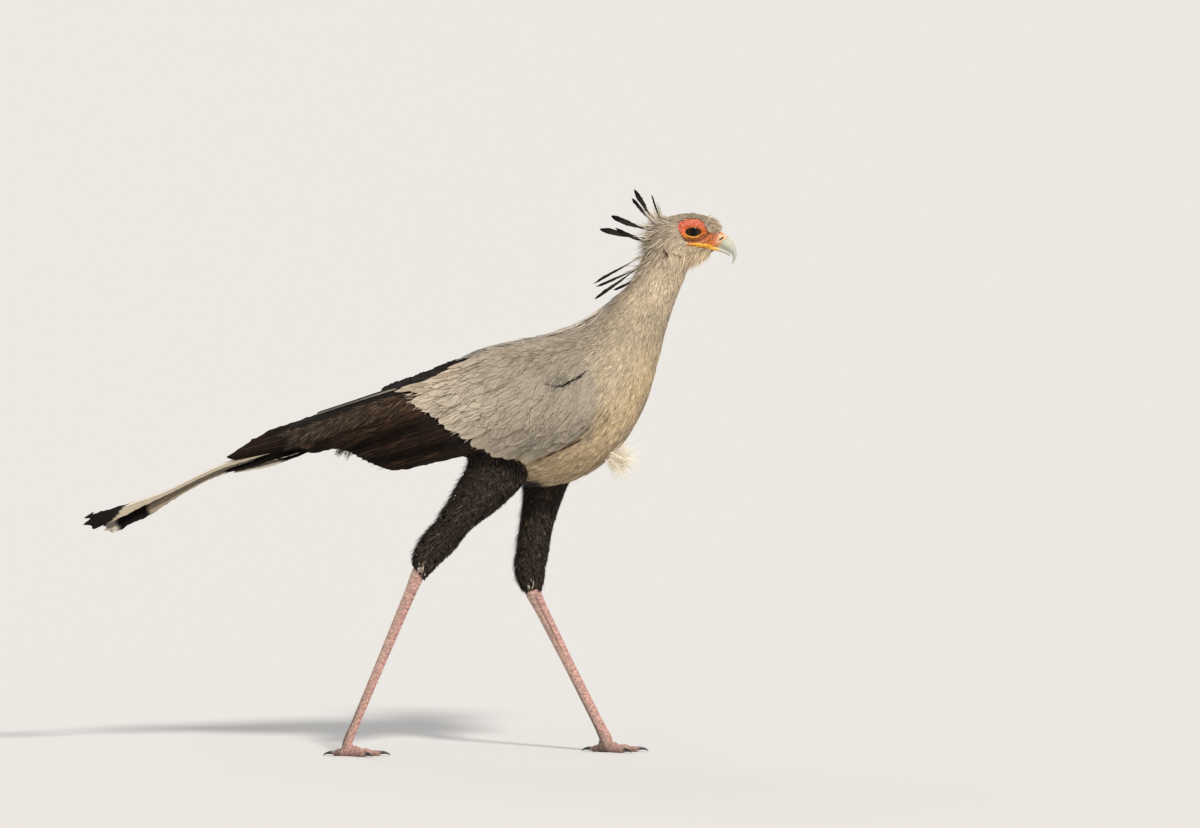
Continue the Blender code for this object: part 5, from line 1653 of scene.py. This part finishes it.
def add_long_feathers(tail, columns):
    """The two long central feathers, each with its own bands and a ragged end."""
    grey, white, black = tones("tail_grey", "tail_white", "black")
    t = np.linspace(0, 1, 90)
    c = np.linspace(-1, 1, columns)
    for number, edges in enumerate(LONG_TAIL):
        x = -122 + (edges[0, 0] + 122) * t
        high, low = (np.interp(x, edges[:, 0], edges[:, k]) for k in (1, 2))
        high, low = (np.convolve(np.pad(z, 3, "edge"), np.ones(7) / 7, "valid") for z in (high, low))
        rise = (high - low) / 2
        wide = np.maximum(np.interp(x, *np.array(LONG_TAIL_HALF).T), rise + 2)
        level = np.sqrt(wide**2 - rise**2)
        spine = np.stack([x, (-2.5, 3)[number] + 0 * x, (high + low) / 2], -1)
        across = unit(np.stack([0 * x, level, rise], -1))
        out = unit(np.stack([0 * x, -rise, level], -1))
        wave = 0.5 + 0.5 * np.sin(c * 6.5 + number * 2 + 0.6)
        notch = ramp(t, 0.962, 1)[:, None] * wave * (13, 7)[number]
        end = ramp(t, 0.96, 1)[:, None] * np.abs(c) ** 3 * (6, 14)[number]
        band = -(x[:, None] + 5 * np.sin(c * 3 + number) * 0.5)
        if number == 0:
            dark = ramp(c - (1 - 2.1 * ramp(band, 486, 536)), -0.06, 0.06)
            line = 0.05 + 0.35 * ramp(band, 420, 480)
            pale = blend(grey, white * 1.1, ramp(c - line, 0.05, 0.2))
            # A dark line under the pale strip: painted shade.
            under = hill((c - line) / 0.09) * ramp(band, 300, 340) * ramp(band, 500, 470)
            pale = blend(pale, grey * 0.3, 0.8 * under)
        else:
            dark = ramp(band, 456, 463) * ramp(band, 520, 512)
            # The second feather darkens towards its upper edge, where the first lies over it: painted shadow.
            pale = blend(grey * 0.8, grey * 0.3, ramp(c, 0.3, 0.85))
            pale = blend(pale, white * 0.75, ramp(band, 505, 514))
        colour = blend(pale, black, dark)
        shift = (notch + end)[..., None] * (1.0, 0, 0.42)
        outline = np.stack([t, np.ones(len(t))], -1)
        add_vane(tail, spine, across, out, wide[:, None] * c, outline, number, colour, shift)


def add_short_feathers(tail, columns):
    """Fourteen shorter feathers in layers under the long ones, black with pale tips."""
    grey, white, black = tones("tail_grey", "tail_white", "black")
    short = fine_outline(((0, 0.45), (0.1, 0.6), (0.5, 1.0), (0.9, 0.95), (0.97, 0.7), (1, 0.3)), 40)
    t = short[:, 0]
    c = np.linspace(-1, 1, columns)
    tip_lengths = (-20, -20, -20, -20, -20, -20, 24, 28, 34, 38, 46, 50, 75, 80)
    for number, tip_length in enumerate(tip_lengths):
        s = min(number, 11) / 11
        side = -1 if number % 2 else 1
        lowest = number > 11
        tip_x = -308 - 6 * (number - 12) if lowest else -334 + 88 * s
        x = -50 + (tip_x + 50) * t
        centre, up = tail_place(x)
        drop = 15.5 - 9 * ramp(-x, 235, 312) if lowest else 3.2 + 0.85 * number - 2.6 * ramp(t, 0.75, 1)
        spine = centre + LEFT * (side * (4.5 + 4.5 * s)) - up * drop[:, None]
        across = unit(LEFT + up * (0.42 if lowest else 0.22) * -side)
        out = unit(np.cross(across, unit(np.gradient(spine, axis=0))))
        out = out * np.sign(out[:, 2:3])
        near = (x[:, None] - tip_x) + 4 * np.sin(c * 3 + number)
        tip = white * (0.7 if tip_length > 15 else 0.35)
        colour = blend(black, tip, ramp(near, tip_length, tip_length - 6))
        colour = blend(colour, grey, 0.7 * ramp(near, 120, 140))
        wave = 0.5 + 0.5 * np.sin(c * 11 + number * 1.7)
        frayed = ramp(t, 0.93, 1)[:, None] * wave * (5 if lowest else 11)
        reach = (15.5 - 3 * s) * short[:, 1:] * c
        add_vane(tail, spine, across, out, reach, short, number + 2, colour,
                 frayed[..., None] * (1.0, 0, 0.38))


def tail_root(x, turn, height=0.0):
    """The round surface of the tail's root."""
    centre, up = tail_place(x)
    half, thick = (
        np.interp(x, [-170, -120, -80, -45, -18, 20], values) + height
        for values in ([7, 12, 20, 24, 23, 23], [4, 6, 10, 15, 19, 19])
    )
    return centre + LEFT * (half * np.sin(turn))[..., None] + up * (thick * np.cos(turn) - 5)[..., None]


def make_tail():
    """The closed tail: banded feathers under the two long central ones, and soft ones at the root."""
    rng = np.random.default_rng(31)
    grey, white = tones("tail_grey", "tail_white")
    tail = Plumage(rng)
    add_long_feathers(tail, 13)
    add_short_feathers(tail, 13)
    count = 900
    u, v = rng.uniform(-150, -10, count), rng.uniform(0, 2 * math.pi, count)
    root = as_surface(tail_root, (1.0, 0.02), tube_places)
    turn, length, half = rng.normal(0, 0.12, count), rng.uniform(22, 46, count), rng.uniform(3, 5, count)
    points, out = lay(root, u, v, turn, length, half, TUFT, 3, -3.0, 2.6)
    tint = vary(rng, np.where((np.cos(v) > 0.2)[:, None], white, blend(white, grey, 0.6)), 0.08)
    tail.add(points, out, TUFT, (tint * 0.9, tint, tint), tube_places((u + 170) / 200, v))
    tail.build("tail_feathers", material("covert_vanes"), "tail_feathers", "tail")


def coat_keep(points):
    """Where the trunk carries small feathers: not on the bare face, and not deep under the wings."""
    x, y, z = points[..., 0], np.abs(points[..., 1]), points[..., 2]
    wing, _ = wing_reach(np.clip(x, WING_REAR, WING_FRONT), z)
    top, low = wing_edges(x)
    hidden = (x < 318) & (z > low + 12) & (z < top - 12) & (y < wing - 3)
    covered = (x < 300) & (z < top - 14) & (z > low + 8) & (y > 26)
    bare = (bare_face(points) < 1.0) & (x > 455) & (y > 6)
    return ~(hidden | covered | bare)


def coat_batch(plumage, surface, count, u_range, v_range, length, half, base, rise, spread, keep, colour_of,
               outline=TUFT, turn=0.0):
    """Adds a batch of small feathers. length, half, base and rise are values or functions of the place."""
    rng = plumage.rng
    u, v = scatter(surface, count, rng, u_range, v_range, keep)
    spots = surface(u, v)
    long, wide, low, high = (
        value(spots) if callable(value) else value for value in (length, half, base, rise)
    )
    long = long * rng.uniform(0.7, 1.2, count)
    wide = wide * rng.uniform(0.7, 1.3, count)
    angle = turn + rng.normal(0, spread, count) + 1.6 * spread * noise(spots, 13.0, 4.0)
    low = low * rng.uniform(0.5, 1.3, count)
    high = high * rng.uniform(0.35, 1.3, count)
    bend, tilt = rng.normal(0, 0.12, count), rng.normal(0, 0.15, count)
    points, out = lay(surface, u, v, angle, long, wide, outline, 3, low, high - low, bend, tilt)
    tint = vary(rng, colour_of(spots), 0.11) * (1 + 0.1 * noise(spots, 6.0, 2.0))[:, None]
    tip = np.clip(tint * rng.uniform(1.0, 1.22, (count, 1)), 0, 1)
    plumage.add(points, out, outline, (tint * 0.8, tip, tint * 1.05), tube_places(u, v))


def mantle_batch(body, v_range):
    """The long shoulder feathers along the back, grey with a brown tinge."""
    rng = body.rng
    count = 520
    u, v = scatter(trunk, count, rng, (section(3.2), section(8.6)), v_range)
    small = ramp(trunk(u, v)[:, 0], 190, 340)
    length = (58 - 26 * small) * rng.uniform(0.85, 1.15, count)
    half = (7.2 - 3.6 * small) * rng.uniform(0.8, 1.15, count)
    ridge = 2.2 * np.cos(v) ** 6
    turn, rise, tilt = rng.normal(0, 0.08, count), rng.uniform(2.4, 3.4, count), rng.normal(0, 0.05, count)
    points, out = lay(trunk, u, v, turn, length, half, LEAF, 5, ridge - 2.2, rise, tilt=tilt, droop=0.08)
    grey, dust, edge = tones("wing_grey", "wing_dust", "wing_edge")
    tint = vary(rng, blend(grey, dust, 0.6 * rng.random(count) * (rng.random(count) < 0.5)), 0.15)
    body.add(points, out, LEAF, (tint * 0.68, tint, blend(tint, edge, 0.6)), tube_places(u, v))


def make_coat():
    """Small feathers of the head, neck, body and thighs, in pieces."""
    rng = np.random.default_rng(41)
    full = (0, 2 * math.pi)

    def picked(levels, chances):
        return lambda p: body_colour(p) * rng.choice(levels, (len(p), 1), p=chances)

    head = Plumage(rng)
    coat_batch(
        head, trunk, 7700, (section(12.2), section(21.7)), full, lambda p: 7 + 9 * ramp(p[:, 0], 500, 440),
        lambda p: 0.6 + 0.5 * ramp(p[:, 0], 500, 440), -1.6, lambda p: 0.9 + 1.6 * ramp(p[:, 0], 470, 430),
        0.13, coat_keep, body_colour,
    )
    coat_batch(
        head, trunk, 1300, (section(11.6), section(14.9)), (0.9, 2 * math.pi - 0.9), 25.0, 0.8, -0.5, 2.6,
        0.15, coat_keep, picked([0.7, 1.0, 1.25], [0.2, 0.4, 0.4]), WISP,
    )
    head.build("coat_head", material("soft_coat"), "grey_feathers")
    for word, side in SIDES.items():
        half_turn = (0.0, math.pi) if side > 0 else (math.pi, 2 * math.pi)
        neck = Plumage(rng)
        coat_batch(
            neck, trunk, 5400, (NECK_FOOT - 0.03, section(13)), half_turn,
            lambda p: 31 - 9 * ramp(p[:, 2], 800, 890),
            lambda p: 1.55 - 0.55 * ramp(p[:, 2], 780, 890), -4.2,
            lambda p: 1.9 - 0.4 * ramp(p[:, 2], 840, 890), 0.11,
            coat_keep, body_colour,
        )
        coat_batch(
            neck, trunk, 2600, (NECK_FOOT - 0.05, section(13.6)), half_turn,
            lambda p: 25 - 8 * ramp(p[:, 2], 800, 890),
            0.72, -1.0, 2.3, 0.15, coat_keep, picked([0.58, 0.8, 1.15, 1.5], [0.16, 0.2, 0.3, 0.34]), WISP,
        )
        neck.build("coat_neck_" + word, material("soft_coat"), "pale_feathers")
        body = Plumage(rng)
        coat_batch(
            body, trunk, 4600, (section(0.4), NECK_FOOT), half_turn, 36.0,
            lambda p: 2.5 - 0.7 * ramp(p[:, 2], 700, 780),
            -4.5, 2.2, 0.12, coat_keep, body_colour,
        )
        coat_batch(
            body, trunk, 2000, (section(1.5), NECK_FOOT), half_turn, 36.0, 0.75, -1.0, 2.3, 0.13, coat_keep,
            picked([0.56, 0.8, 1.15, 1.4], [0.16, 0.2, 0.32, 0.32]), WISP,
        )
        mantle_batch(body, (0.0, 1.0) if side > 0 else (2 * math.pi - 1.0, 2 * math.pi))
        body.build("coat_body_" + word, material("soft_coat"), "pale_feathers")
        make_thigh(word, rng)


def make_thigh(word, rng):
    """A thigh's short dark feathers, with pale flecks and a pale patch over the joint."""
    thigh = Plumage(rng)
    black, fleck, joint = tones("black", "thigh_fleck", "tail_white")
    patch = {"right": (15, 331), "left": (205, 300)}[word]
    surface = thighs[word]

    def thigh_colour(p):
        pick = rng.random(len(p))
        brown = blend(black * (1.9, 1.75, 1.5), fleck, 0.4 * rng.random(len(p)) ** 2)
        brown = np.where((pick < 0.03)[:, None], fleck, brown)
        near = hill((p[:, 0] - patch[0]) / 7, (p[:, 2] - patch[1]) / 9)
        return np.where((pick < 0.55 * near)[:, None], joint * (0.35 + 0.5 * rng.random((len(p), 1))), brown)

    coat_batch(
        thigh, surface, 4700, (0.04, 0.985), (0, 2 * math.pi), lambda p: 13 + 4 * noise(p, 12), 1.35, -4.0,
        lambda p: 0.4 + 1.8 * ramp(p[:, 2], 285, 330), 0.17, None, thigh_colour, turn=math.pi,
    )
    coat_batch(
        thigh, surface, 460, (0.04, 0.95), (math.pi - 0.55, math.pi + 0.55), 15.0, 1.6, -2.6, 0.5, 0.08, None,
        thigh_colour, turn=math.pi,
    )
    for middle, count, high in ((0.0, 900, 9.5), (math.pi, 160, 4.0)):
        coat_batch(
            thigh, surface, count, (0.05, 0.9), (middle - 0.4, middle + 0.4), 20.0, 0.7, -3.0,
            lambda p: high * (0.6 + 0.6 * noise(p, 4.0)), 0.2, None, thigh_colour, WISP, math.pi,
        )
    thigh.build("coat_thigh_" + word, material("dark_coat"), "black_feathers")


def make_wisps():
    """Loose plumes: down on the breast, and strands at throat, nape, crest, back, brow, belly and ears. The
    pale strands under the chin and along the back are partly painted light, and the dark ones at the ears are
    painted shade.
    """
    rng = np.random.default_rng(51)
    wisps = Plumage(rng)
    white, pale, head, dark, black = tones("tail_white", "neck_beige", "head_grey", "face_dark", "black")
    outline = fine_outline(((0, 0.8), (0.3, 1.0), (1, 0.12)), 5)
    t, share = outline.T

    def strands(roots, aims, long, wide, curl, colour, amount=0.0, picks=None, factor=1.0):
        """Free strands. long and wide are ranges, and picks are factors for the colour with their chances."""
        count = len(roots)
        long = rng.uniform(*long, count) * factor
        half = rng.uniform(*wide, count)[:, None] if isinstance(wide, tuple) else np.full((count, 1), wide)
        curl = rng.normal(0, curl, count)
        if picks:
            colour = colour * rng.choice(picks[0], (count, 1), p=picks[1])
        tint = np.broadcast_to(colour, (count, 3))
        tint = vary(rng, tint, amount) if amount else tint
        way = unit(aims)
        aside = unit(np.cross(way, rng.standard_normal((count, 3))))
        spine = roots[:, None] + way[:, None] * (long[:, None] * t)[..., None]
        spine = spine + aside[:, None] * (curl[:, None] * long[:, None] * t**2)[..., None]
        across = unit(np.cross(way, aside))[:, None] * (half * share)[..., None]
        keel = aside[:, None] * (0.5 * half * share)[..., None]
        points = np.stack([spine - across, spine + keel, spine + across], axis=2)
        places = np.stack([rng.random(count), rng.random(count)], -1) * 0.98 + 0.01
        wisps.add(points, aside[:, None, None], outline, (tint * 0.85, tint, tint), places)

    def normals(count, *pairs):
        return np.stack([rng.normal(middle, spread, count) for middle, spread in pairs], -1)

    start = np.array([353.0, -22, 520]) + rng.normal(0, 1, (420, 3)) * (6, 5, 7)
    angle = np.radians(rng.uniform(-75, 55, 420))
    aims = np.stack([np.cos(angle), rng.normal(-0.15, 0.25, 420), np.sin(angle)], -1)
    strands(start, aims, (14, 50), (0.35, 0.65), 0.22, np.minimum(white * 1.45, 0.95), 0.04)

    # Pale strands under the chin: partly pale feathers, partly painted light against the shade there.
    u, v = rng.uniform(section(12), section(20.2), 620), math.pi + rng.normal(0, 0.75, 620)
    x, _, z = trunk(u, v).T
    low = z < np.interp(x, GAPE[:, 0], GAPE[:, 1]) - 6 + 3 * ramp(x, 505, 530)
    u, v = u[low], v[low]
    start = trunk(u, v, -1.4)
    aims = normals(len(u), (-0.55, 0.2), (0, 0.12), (-0.8, 0.12)) + 0.25 * unit(trunk(u, v, 1.0) - start)
    strands(start, aims, (9, 25), (0.35, 0.75), 0.15, pale * 1.75, 0.2)

    count = 760
    u, v = rng.uniform(section(9.4), section(15.6), count), rng.normal(0, 0.8, count)
    start = trunk(u, v, -1.5)
    lie = np.interp(start[:, 2], [770, 850, 880, 905, 925, 945], [-70, -63, -50, -22, 2, 24])
    lie = np.radians(lie + rng.normal(0, 11, count))
    aims = np.stack([-np.cos(lie), 0.35 * np.sin(v) + rng.normal(0, 0.1, count), np.sin(lie)], -1)
    mane = blend(head * 0.8, white * 1.1, rng.random(count) ** 0.8)
    strands(start, aims, (11, 30), (0.4, 0.95), 0.12, mane, 0.1,
            factor=0.6 + 0.4 * ramp(start[:, 2], 780, 850))

    quills = np.array(CREST)[rng.integers(0, len(CREST), 100)]
    start = quills[:, 0:3] + rng.normal(0, 1.8, (100, 3))
    aims = unit(quills[:, 3:6] - quills[:, 0:3]) + rng.normal(0, 0.15, (100, 3))
    strands(start, aims, (12, 34), (0.7, 1.4), 0.06, white * 1.05, 0.15)

    # Pale strands along the back's top edge: partly pale feathers, partly painted rim light.
    u, v = rng.uniform(section(3), section(7.2), 240), rng.normal(0, 0.28, 240)
    start = trunk(u, v, 3.0)
    aims = unit(trunk(u - 0.04, v, 2.6) - start) + rng.normal(0, 0.05, start.shape)
    strands(start, aims, (14, 38), (0.4, 0.9), 0.05, white * 0.85, 0.18)

    u, v = rng.uniform(section(15), section(20.3), 330), rng.normal(0, 0.55, 330)
    clear = np.minimum(bare_face(trunk(u, v)), bare_face(trunk(u - 0.03, v))) > 1.12
    u, v = u[clear], v[clear]
    start = trunk(u, v, -0.9)
    aims = unit(trunk(u - 0.03, v, 1.2) - start) + rng.normal(0, 0.08, start.shape)
    strands(start, aims, (6, 13), (0.3, 0.6), 0.1, head, 0.12, ([0.5, 1.9], [0.35, 0.65]))

    u, v = section(21.9) - section(2.5) * rng.random(500) ** 1.2, rng.normal(0, 0.85, 500)
    clear = bare_face(trunk(u, v)) > 1.06
    u, v = u[clear], v[clear]
    start = trunk(u, v, -1.2)
    ahead = ramp(u, section(20.2), section(21.7))
    aims = np.stack([1.1 + 0.3 * ahead, 0.35 * np.sin(v), 0.3 - 0.35 * ahead], -1)
    aims = aims + rng.normal(0, 0.17, start.shape)
    picks = ([0.4, 1.15, 2.0], [0.18, 0.34, 0.48])
    strands(start, aims, (5, 13), (0.3, 0.6), 0.2, head, 0.15, picks, 1 - 0.3 * ahead)

    u, v = rng.uniform(section(2.6), section(7), 170), math.pi + rng.normal(0, 0.5, 170)
    start = trunk(u, v, -0.5)
    aims = normals(170, (-0.8, 0.15), (0, 0.1), (-0.5, 0.15))
    strands(start, aims, (6, 15), (0.3, 0.6), 0.15, body_colour(start) * 1.1, 0.15)

    for side in SIDES.values():
        # Dark strands in the crease behind the cheek: painted shade.
        s = rng.random(40)
        start = np.stack([440 + 9 * s, side * (29 + 2 * s), 890 - 12 * s], -1) + rng.normal(0, 0.6, (40, 3))
        aims = np.stack([-0.2 + 0.4 * rng.random(40), side * (0.25 + 0 * s), -1 + 0 * s], -1)
        strands(start, aims, (4, 9), 0.4, 0.1, dark)
        s = rng.random(26)
        brow = np.stack([-9 + 20 * s, side * (9.5 + 0 * s), 9 - 6 * (s - 0.45) ** 2], -1)
        start = EYE * (1, side, 1) + brow
        aims = [rng.normal(0.1, 0.2, 26) + s - 0.5, side * (0.9 + 0 * s), rng.normal(0.6, 0.1, 26)]
        strands(start, np.stack(aims, -1), (4, 7), 0.22, 0.1, black)
    wisps.build("coat_wisps", material("soft_coat"), "pale_feathers")


def add_turned(name, data, way):
    """An object for a light or the camera, looking along a way."""
    thing = bpy.data.objects.new(name, data)
    thing.rotation_mode = "QUATERNION"
    thing.rotation_quaternion = Vector(way).to_track_quat("-Z", "Y")
    bpy.context.scene.collection.objects.link(thing)
    return thing


def make_stage():
    """A pale floor, soft light and the camera at the photograph's angle."""
    scene = bpy.context.scene
    size = sizes()
    bpy.ops.mesh.primitive_plane_add(size=240)
    floor = bpy.context.object
    floor.name = "floor"
    ground, _, shader = new_material("floor", roughness=0.9)
    shader.inputs["Base Color"].default_value = (0.64, 0.62, 0.6, 1)
    floor.data.materials.append(ground)
    world = bpy.data.worlds.new("studio")
    scene.world = world
    world.use_nodes = True
    background = world.node_tree.nodes["Background"]
    background.inputs["Color"].default_value = (0.95, 0.97, 1.0, 1)
    background.inputs["Strength"].default_value = size.fill_light
    for name, strength, angle, direction, colour in (
        ("key", size.key_light, 9, (-0.42, 0.72, -0.85), (1.0, 0.955, 0.88)),
        ("rim", size.key_light * 0.2, 40, (0.5, -0.8, -0.6), (1.0, 0.98, 0.95)),
    ):
        light = bpy.data.lights.new(name, "SUN")
        light.energy = strength
        light.angle = math.radians(angle)
        light.color = colour
        add_turned(name, light, direction)
    camera = bpy.data.cameras.new("camera")
    camera.lens = 400
    camera.sensor_width = 36
    camera.clip_end = 400
    elevation = math.radians(4)
    back = Vector((0, -math.cos(elevation), math.sin(elevation)))
    eye = add_turned("camera", camera, -back)
    target = Vector((size.view_centre[0], 0, size.view_centre[1]))
    eye.location = target + back * size.view_width * camera.lens / camera.sensor_width
    scene.camera = eye
    scene.view_settings.view_transform = "Standard"


# Settings, operators and panel


def colour_setting(name, description, value):
    return FloatVectorProperty(name=name, description=description, default=value, subtype="COLOR", size=3,
                               min=0, max=1)


def length_setting(name, description, value):
    return FloatProperty(name=name, description=description, default=value, unit="LENGTH", min=0)


class BirdColours(PropertyGroup):
    head_grey: colour_setting("Head grey", "Crown and nape", (0.43, 0.34, 0.245))
    neck_beige: colour_setting("Neck beige", "Neck and breast", (0.47, 0.38, 0.265))
    belly_cream: colour_setting("Belly cream", "Belly and lower breast", (0.52, 0.395, 0.24))
    wing_grey: colour_setting("Wing grey", "Mantle and wing coverts", (0.325, 0.28, 0.222))
    wing_edge: colour_setting("Wing edge", "Edges of the coverts", (0.42, 0.35, 0.26))
    wing_dust: colour_setting("Wing dust", "Brown tinge of the shoulder feathers", (0.26, 0.19, 0.13))
    black: colour_setting("Black", "Crest, flight feathers and thighs", (0.008, 0.0062, 0.0053))
    flight_brown: colour_setting("Flight brown", "Worn edges of the flight feathers", (0.03, 0.017, 0.011))
    tertial_brown: colour_setting("Tertial brown", "Loose barbs of the innermost flight feathers",
                                  (0.06, 0.037, 0.023))
    tail_grey: colour_setting("Tail grey", "Central tail feathers", (0.42, 0.35, 0.26))
    tail_white: colour_setting("Tail white", "Tail bands, tail coverts and down", (0.68, 0.6, 0.49))
    thigh_fleck: colour_setting("Thigh fleck", "Pale flecks among the thigh feathers", (0.115, 0.078, 0.05))
    leg_pink: colour_setting("Leg pink", "Shank and toe scales", (0.62, 0.325, 0.285))
    leg_tan: colour_setting("Leg tan", "Worn and dusty scales", (0.56, 0.39, 0.31))
    bill_pale: colour_setting("Bill horn", "Horn of the bill", (0.52, 0.51, 0.4))
    claw: colour_setting("Claw black", "Horn of the claws", (0.018, 0.017, 0.018))
    face_red: colour_setting("Face red", "Bare skin above and behind the eye", (0.74, 0.13, 0.06))
    face_orange: colour_setting("Face orange", "Bare skin before the eye", (0.72, 0.17, 0.008))
    face_yellow: colour_setting("Face yellow", "Lid rims, gape and cere", (0.86, 0.43, 0.03))
    # Also used for painted shade: the dark strands along the wing's lower front edge and in the crease behind
    # the cheek.
    face_dark: colour_setting("Face dark", "Creases of the bare skin", (0.07, 0.03, 0.02))
    iris: colour_setting("Iris", "Iris of the eye", (0.04, 0.015, 0.007))


class BirdSizes(PropertyGroup):
    body_coat: length_setting("Body coat", "Depth of the feathers over the body's skin", 0.0055)
    head_coat: length_setting("Head coat", "Depth of the feathers over the head's skin", 0.0022)
    thigh_coat: length_setting("Thigh coat", "Depth of the feathers over the thigh's skin", 0.006)
    scute_count: IntProperty(name="Scutes", description="Plates down the front of a shank", default=34, min=4,
                             max=60)
    view_width: length_setting("View width", "Width of the camera's view at the bird", 2.1)
    view_centre: FloatVectorProperty(
        name="View centre", description="Where the camera aims, in X and Z", default=(0.33, 0.597), size=2,
        unit="LENGTH"
    )
    key_light: FloatProperty(name="Key light", description="Strength of the main light", default=2.8, min=0)
    fill_light: FloatProperty(name="Fill light", description="Strength of the light from all round",
                              default=0.6, min=0)


class BIRD_OT_stage(Operator):
    """Add the floor, the lights and the camera"""

    bl_idname = "bird.add_stage"
    bl_label = "Stage"

    def execute(self, context):
        make_stage()
        return {"FINISHED"}


class BIRD_OT_skin(Operator):
    """Add the skin of the head, neck, body and thighs"""

    bl_idname = "bird.add_skin"
    bl_label = "Skin"

    def execute(self, context):
        make_skin()
        return {"FINISHED"}


class BIRD_OT_legs(Operator):
    """Add the scaled shanks and feet, with their claws"""

    bl_idname = "bird.add_legs"
    bl_label = "Legs and claws"

    def execute(self, context):
        for word in SIDES:
            make_leg(word)
            make_claws(word)
        return {"FINISHED"}


class BIRD_OT_bill(Operator):
    """Add the hooked bill"""

    bl_idname = "bird.add_bill"
    bl_label = "Bill"

    def execute(self, context):
        make_bill()
        return {"FINISHED"}


class BIRD_OT_eyes(Operator):
    """Add the eyes and the rims of their lids"""

    bl_idname = "bird.add_eyes"
    bl_label = "Eyes"

    def execute(self, context):
        make_eyes()
        return {"FINISHED"}


class BIRD_OT_crest(Operator):
    """Add the quill crest"""

    bl_idname = "bird.add_crest"
    bl_label = "Crest"

    def execute(self, context):
        make_crest()
        return {"FINISHED"}


class BIRD_OT_wings(Operator):
    """Add the folded wings' cores, flight feathers and coverts"""

    bl_idname = "bird.add_wings"
    bl_label = "Wings"

    def execute(self, context):
        for word in SIDES:
            make_wing(word)
        return {"FINISHED"}


class BIRD_OT_tail(Operator):
    """Add the tail's feathers"""

    bl_idname = "bird.add_tail"
    bl_label = "Tail"

    def execute(self, context):
        make_tail()
        return {"FINISHED"}


class BIRD_OT_coat(Operator):
    """Add the small feathers of the head, neck, body and thighs, and the loose plumes"""

    bl_idname = "bird.add_coat"
    bl_label = "Coat"

    def execute(self, context):
        make_coat()
        make_wisps()
        return {"FINISHED"}


OPERATORS = (
    BIRD_OT_stage,
    BIRD_OT_skin,
    BIRD_OT_legs,
    BIRD_OT_bill,
    BIRD_OT_eyes,
    BIRD_OT_crest,
    BIRD_OT_wings,
    BIRD_OT_tail,
    BIRD_OT_coat,
)


class BIRD_PT_looks(Panel):
    """Lists the bird's pieces with their colours and sizes"""

    bl_idname = "BIRD_PT_looks"
    bl_label = "Secretary bird"
    bl_space_type = "VIEW_3D"
    bl_region_type = "UI"
    bl_category = "Bird"

    def draw(self, context):
        for operator in OPERATORS:
            self.layout.operator(operator.bl_idname)
        for group in (context.scene.bird_sizes, context.scene.bird_colours):
            for key in group.__annotations__:
                self.layout.prop(group, key)


CLASSES = (BirdColours, BirdSizes, *OPERATORS, BIRD_PT_looks)


def register():
    for item in CLASSES:
        bpy.utils.register_class(item)
    bpy.types.Scene.bird_colours = PointerProperty(type=BirdColours)
    bpy.types.Scene.bird_sizes = PointerProperty(type=BirdSizes)


def unregister():
    del bpy.types.Scene.bird_sizes
    del bpy.types.Scene.bird_colours
    for item in reversed(CLASSES):
        bpy.utils.unregister_class(item)


def main():
    register()
    for operator in OPERATORS:
        group, name = operator.bl_idname.split(".")
        getattr(getattr(bpy.ops, group), name)()


if __name__ == "__main__":
    main()
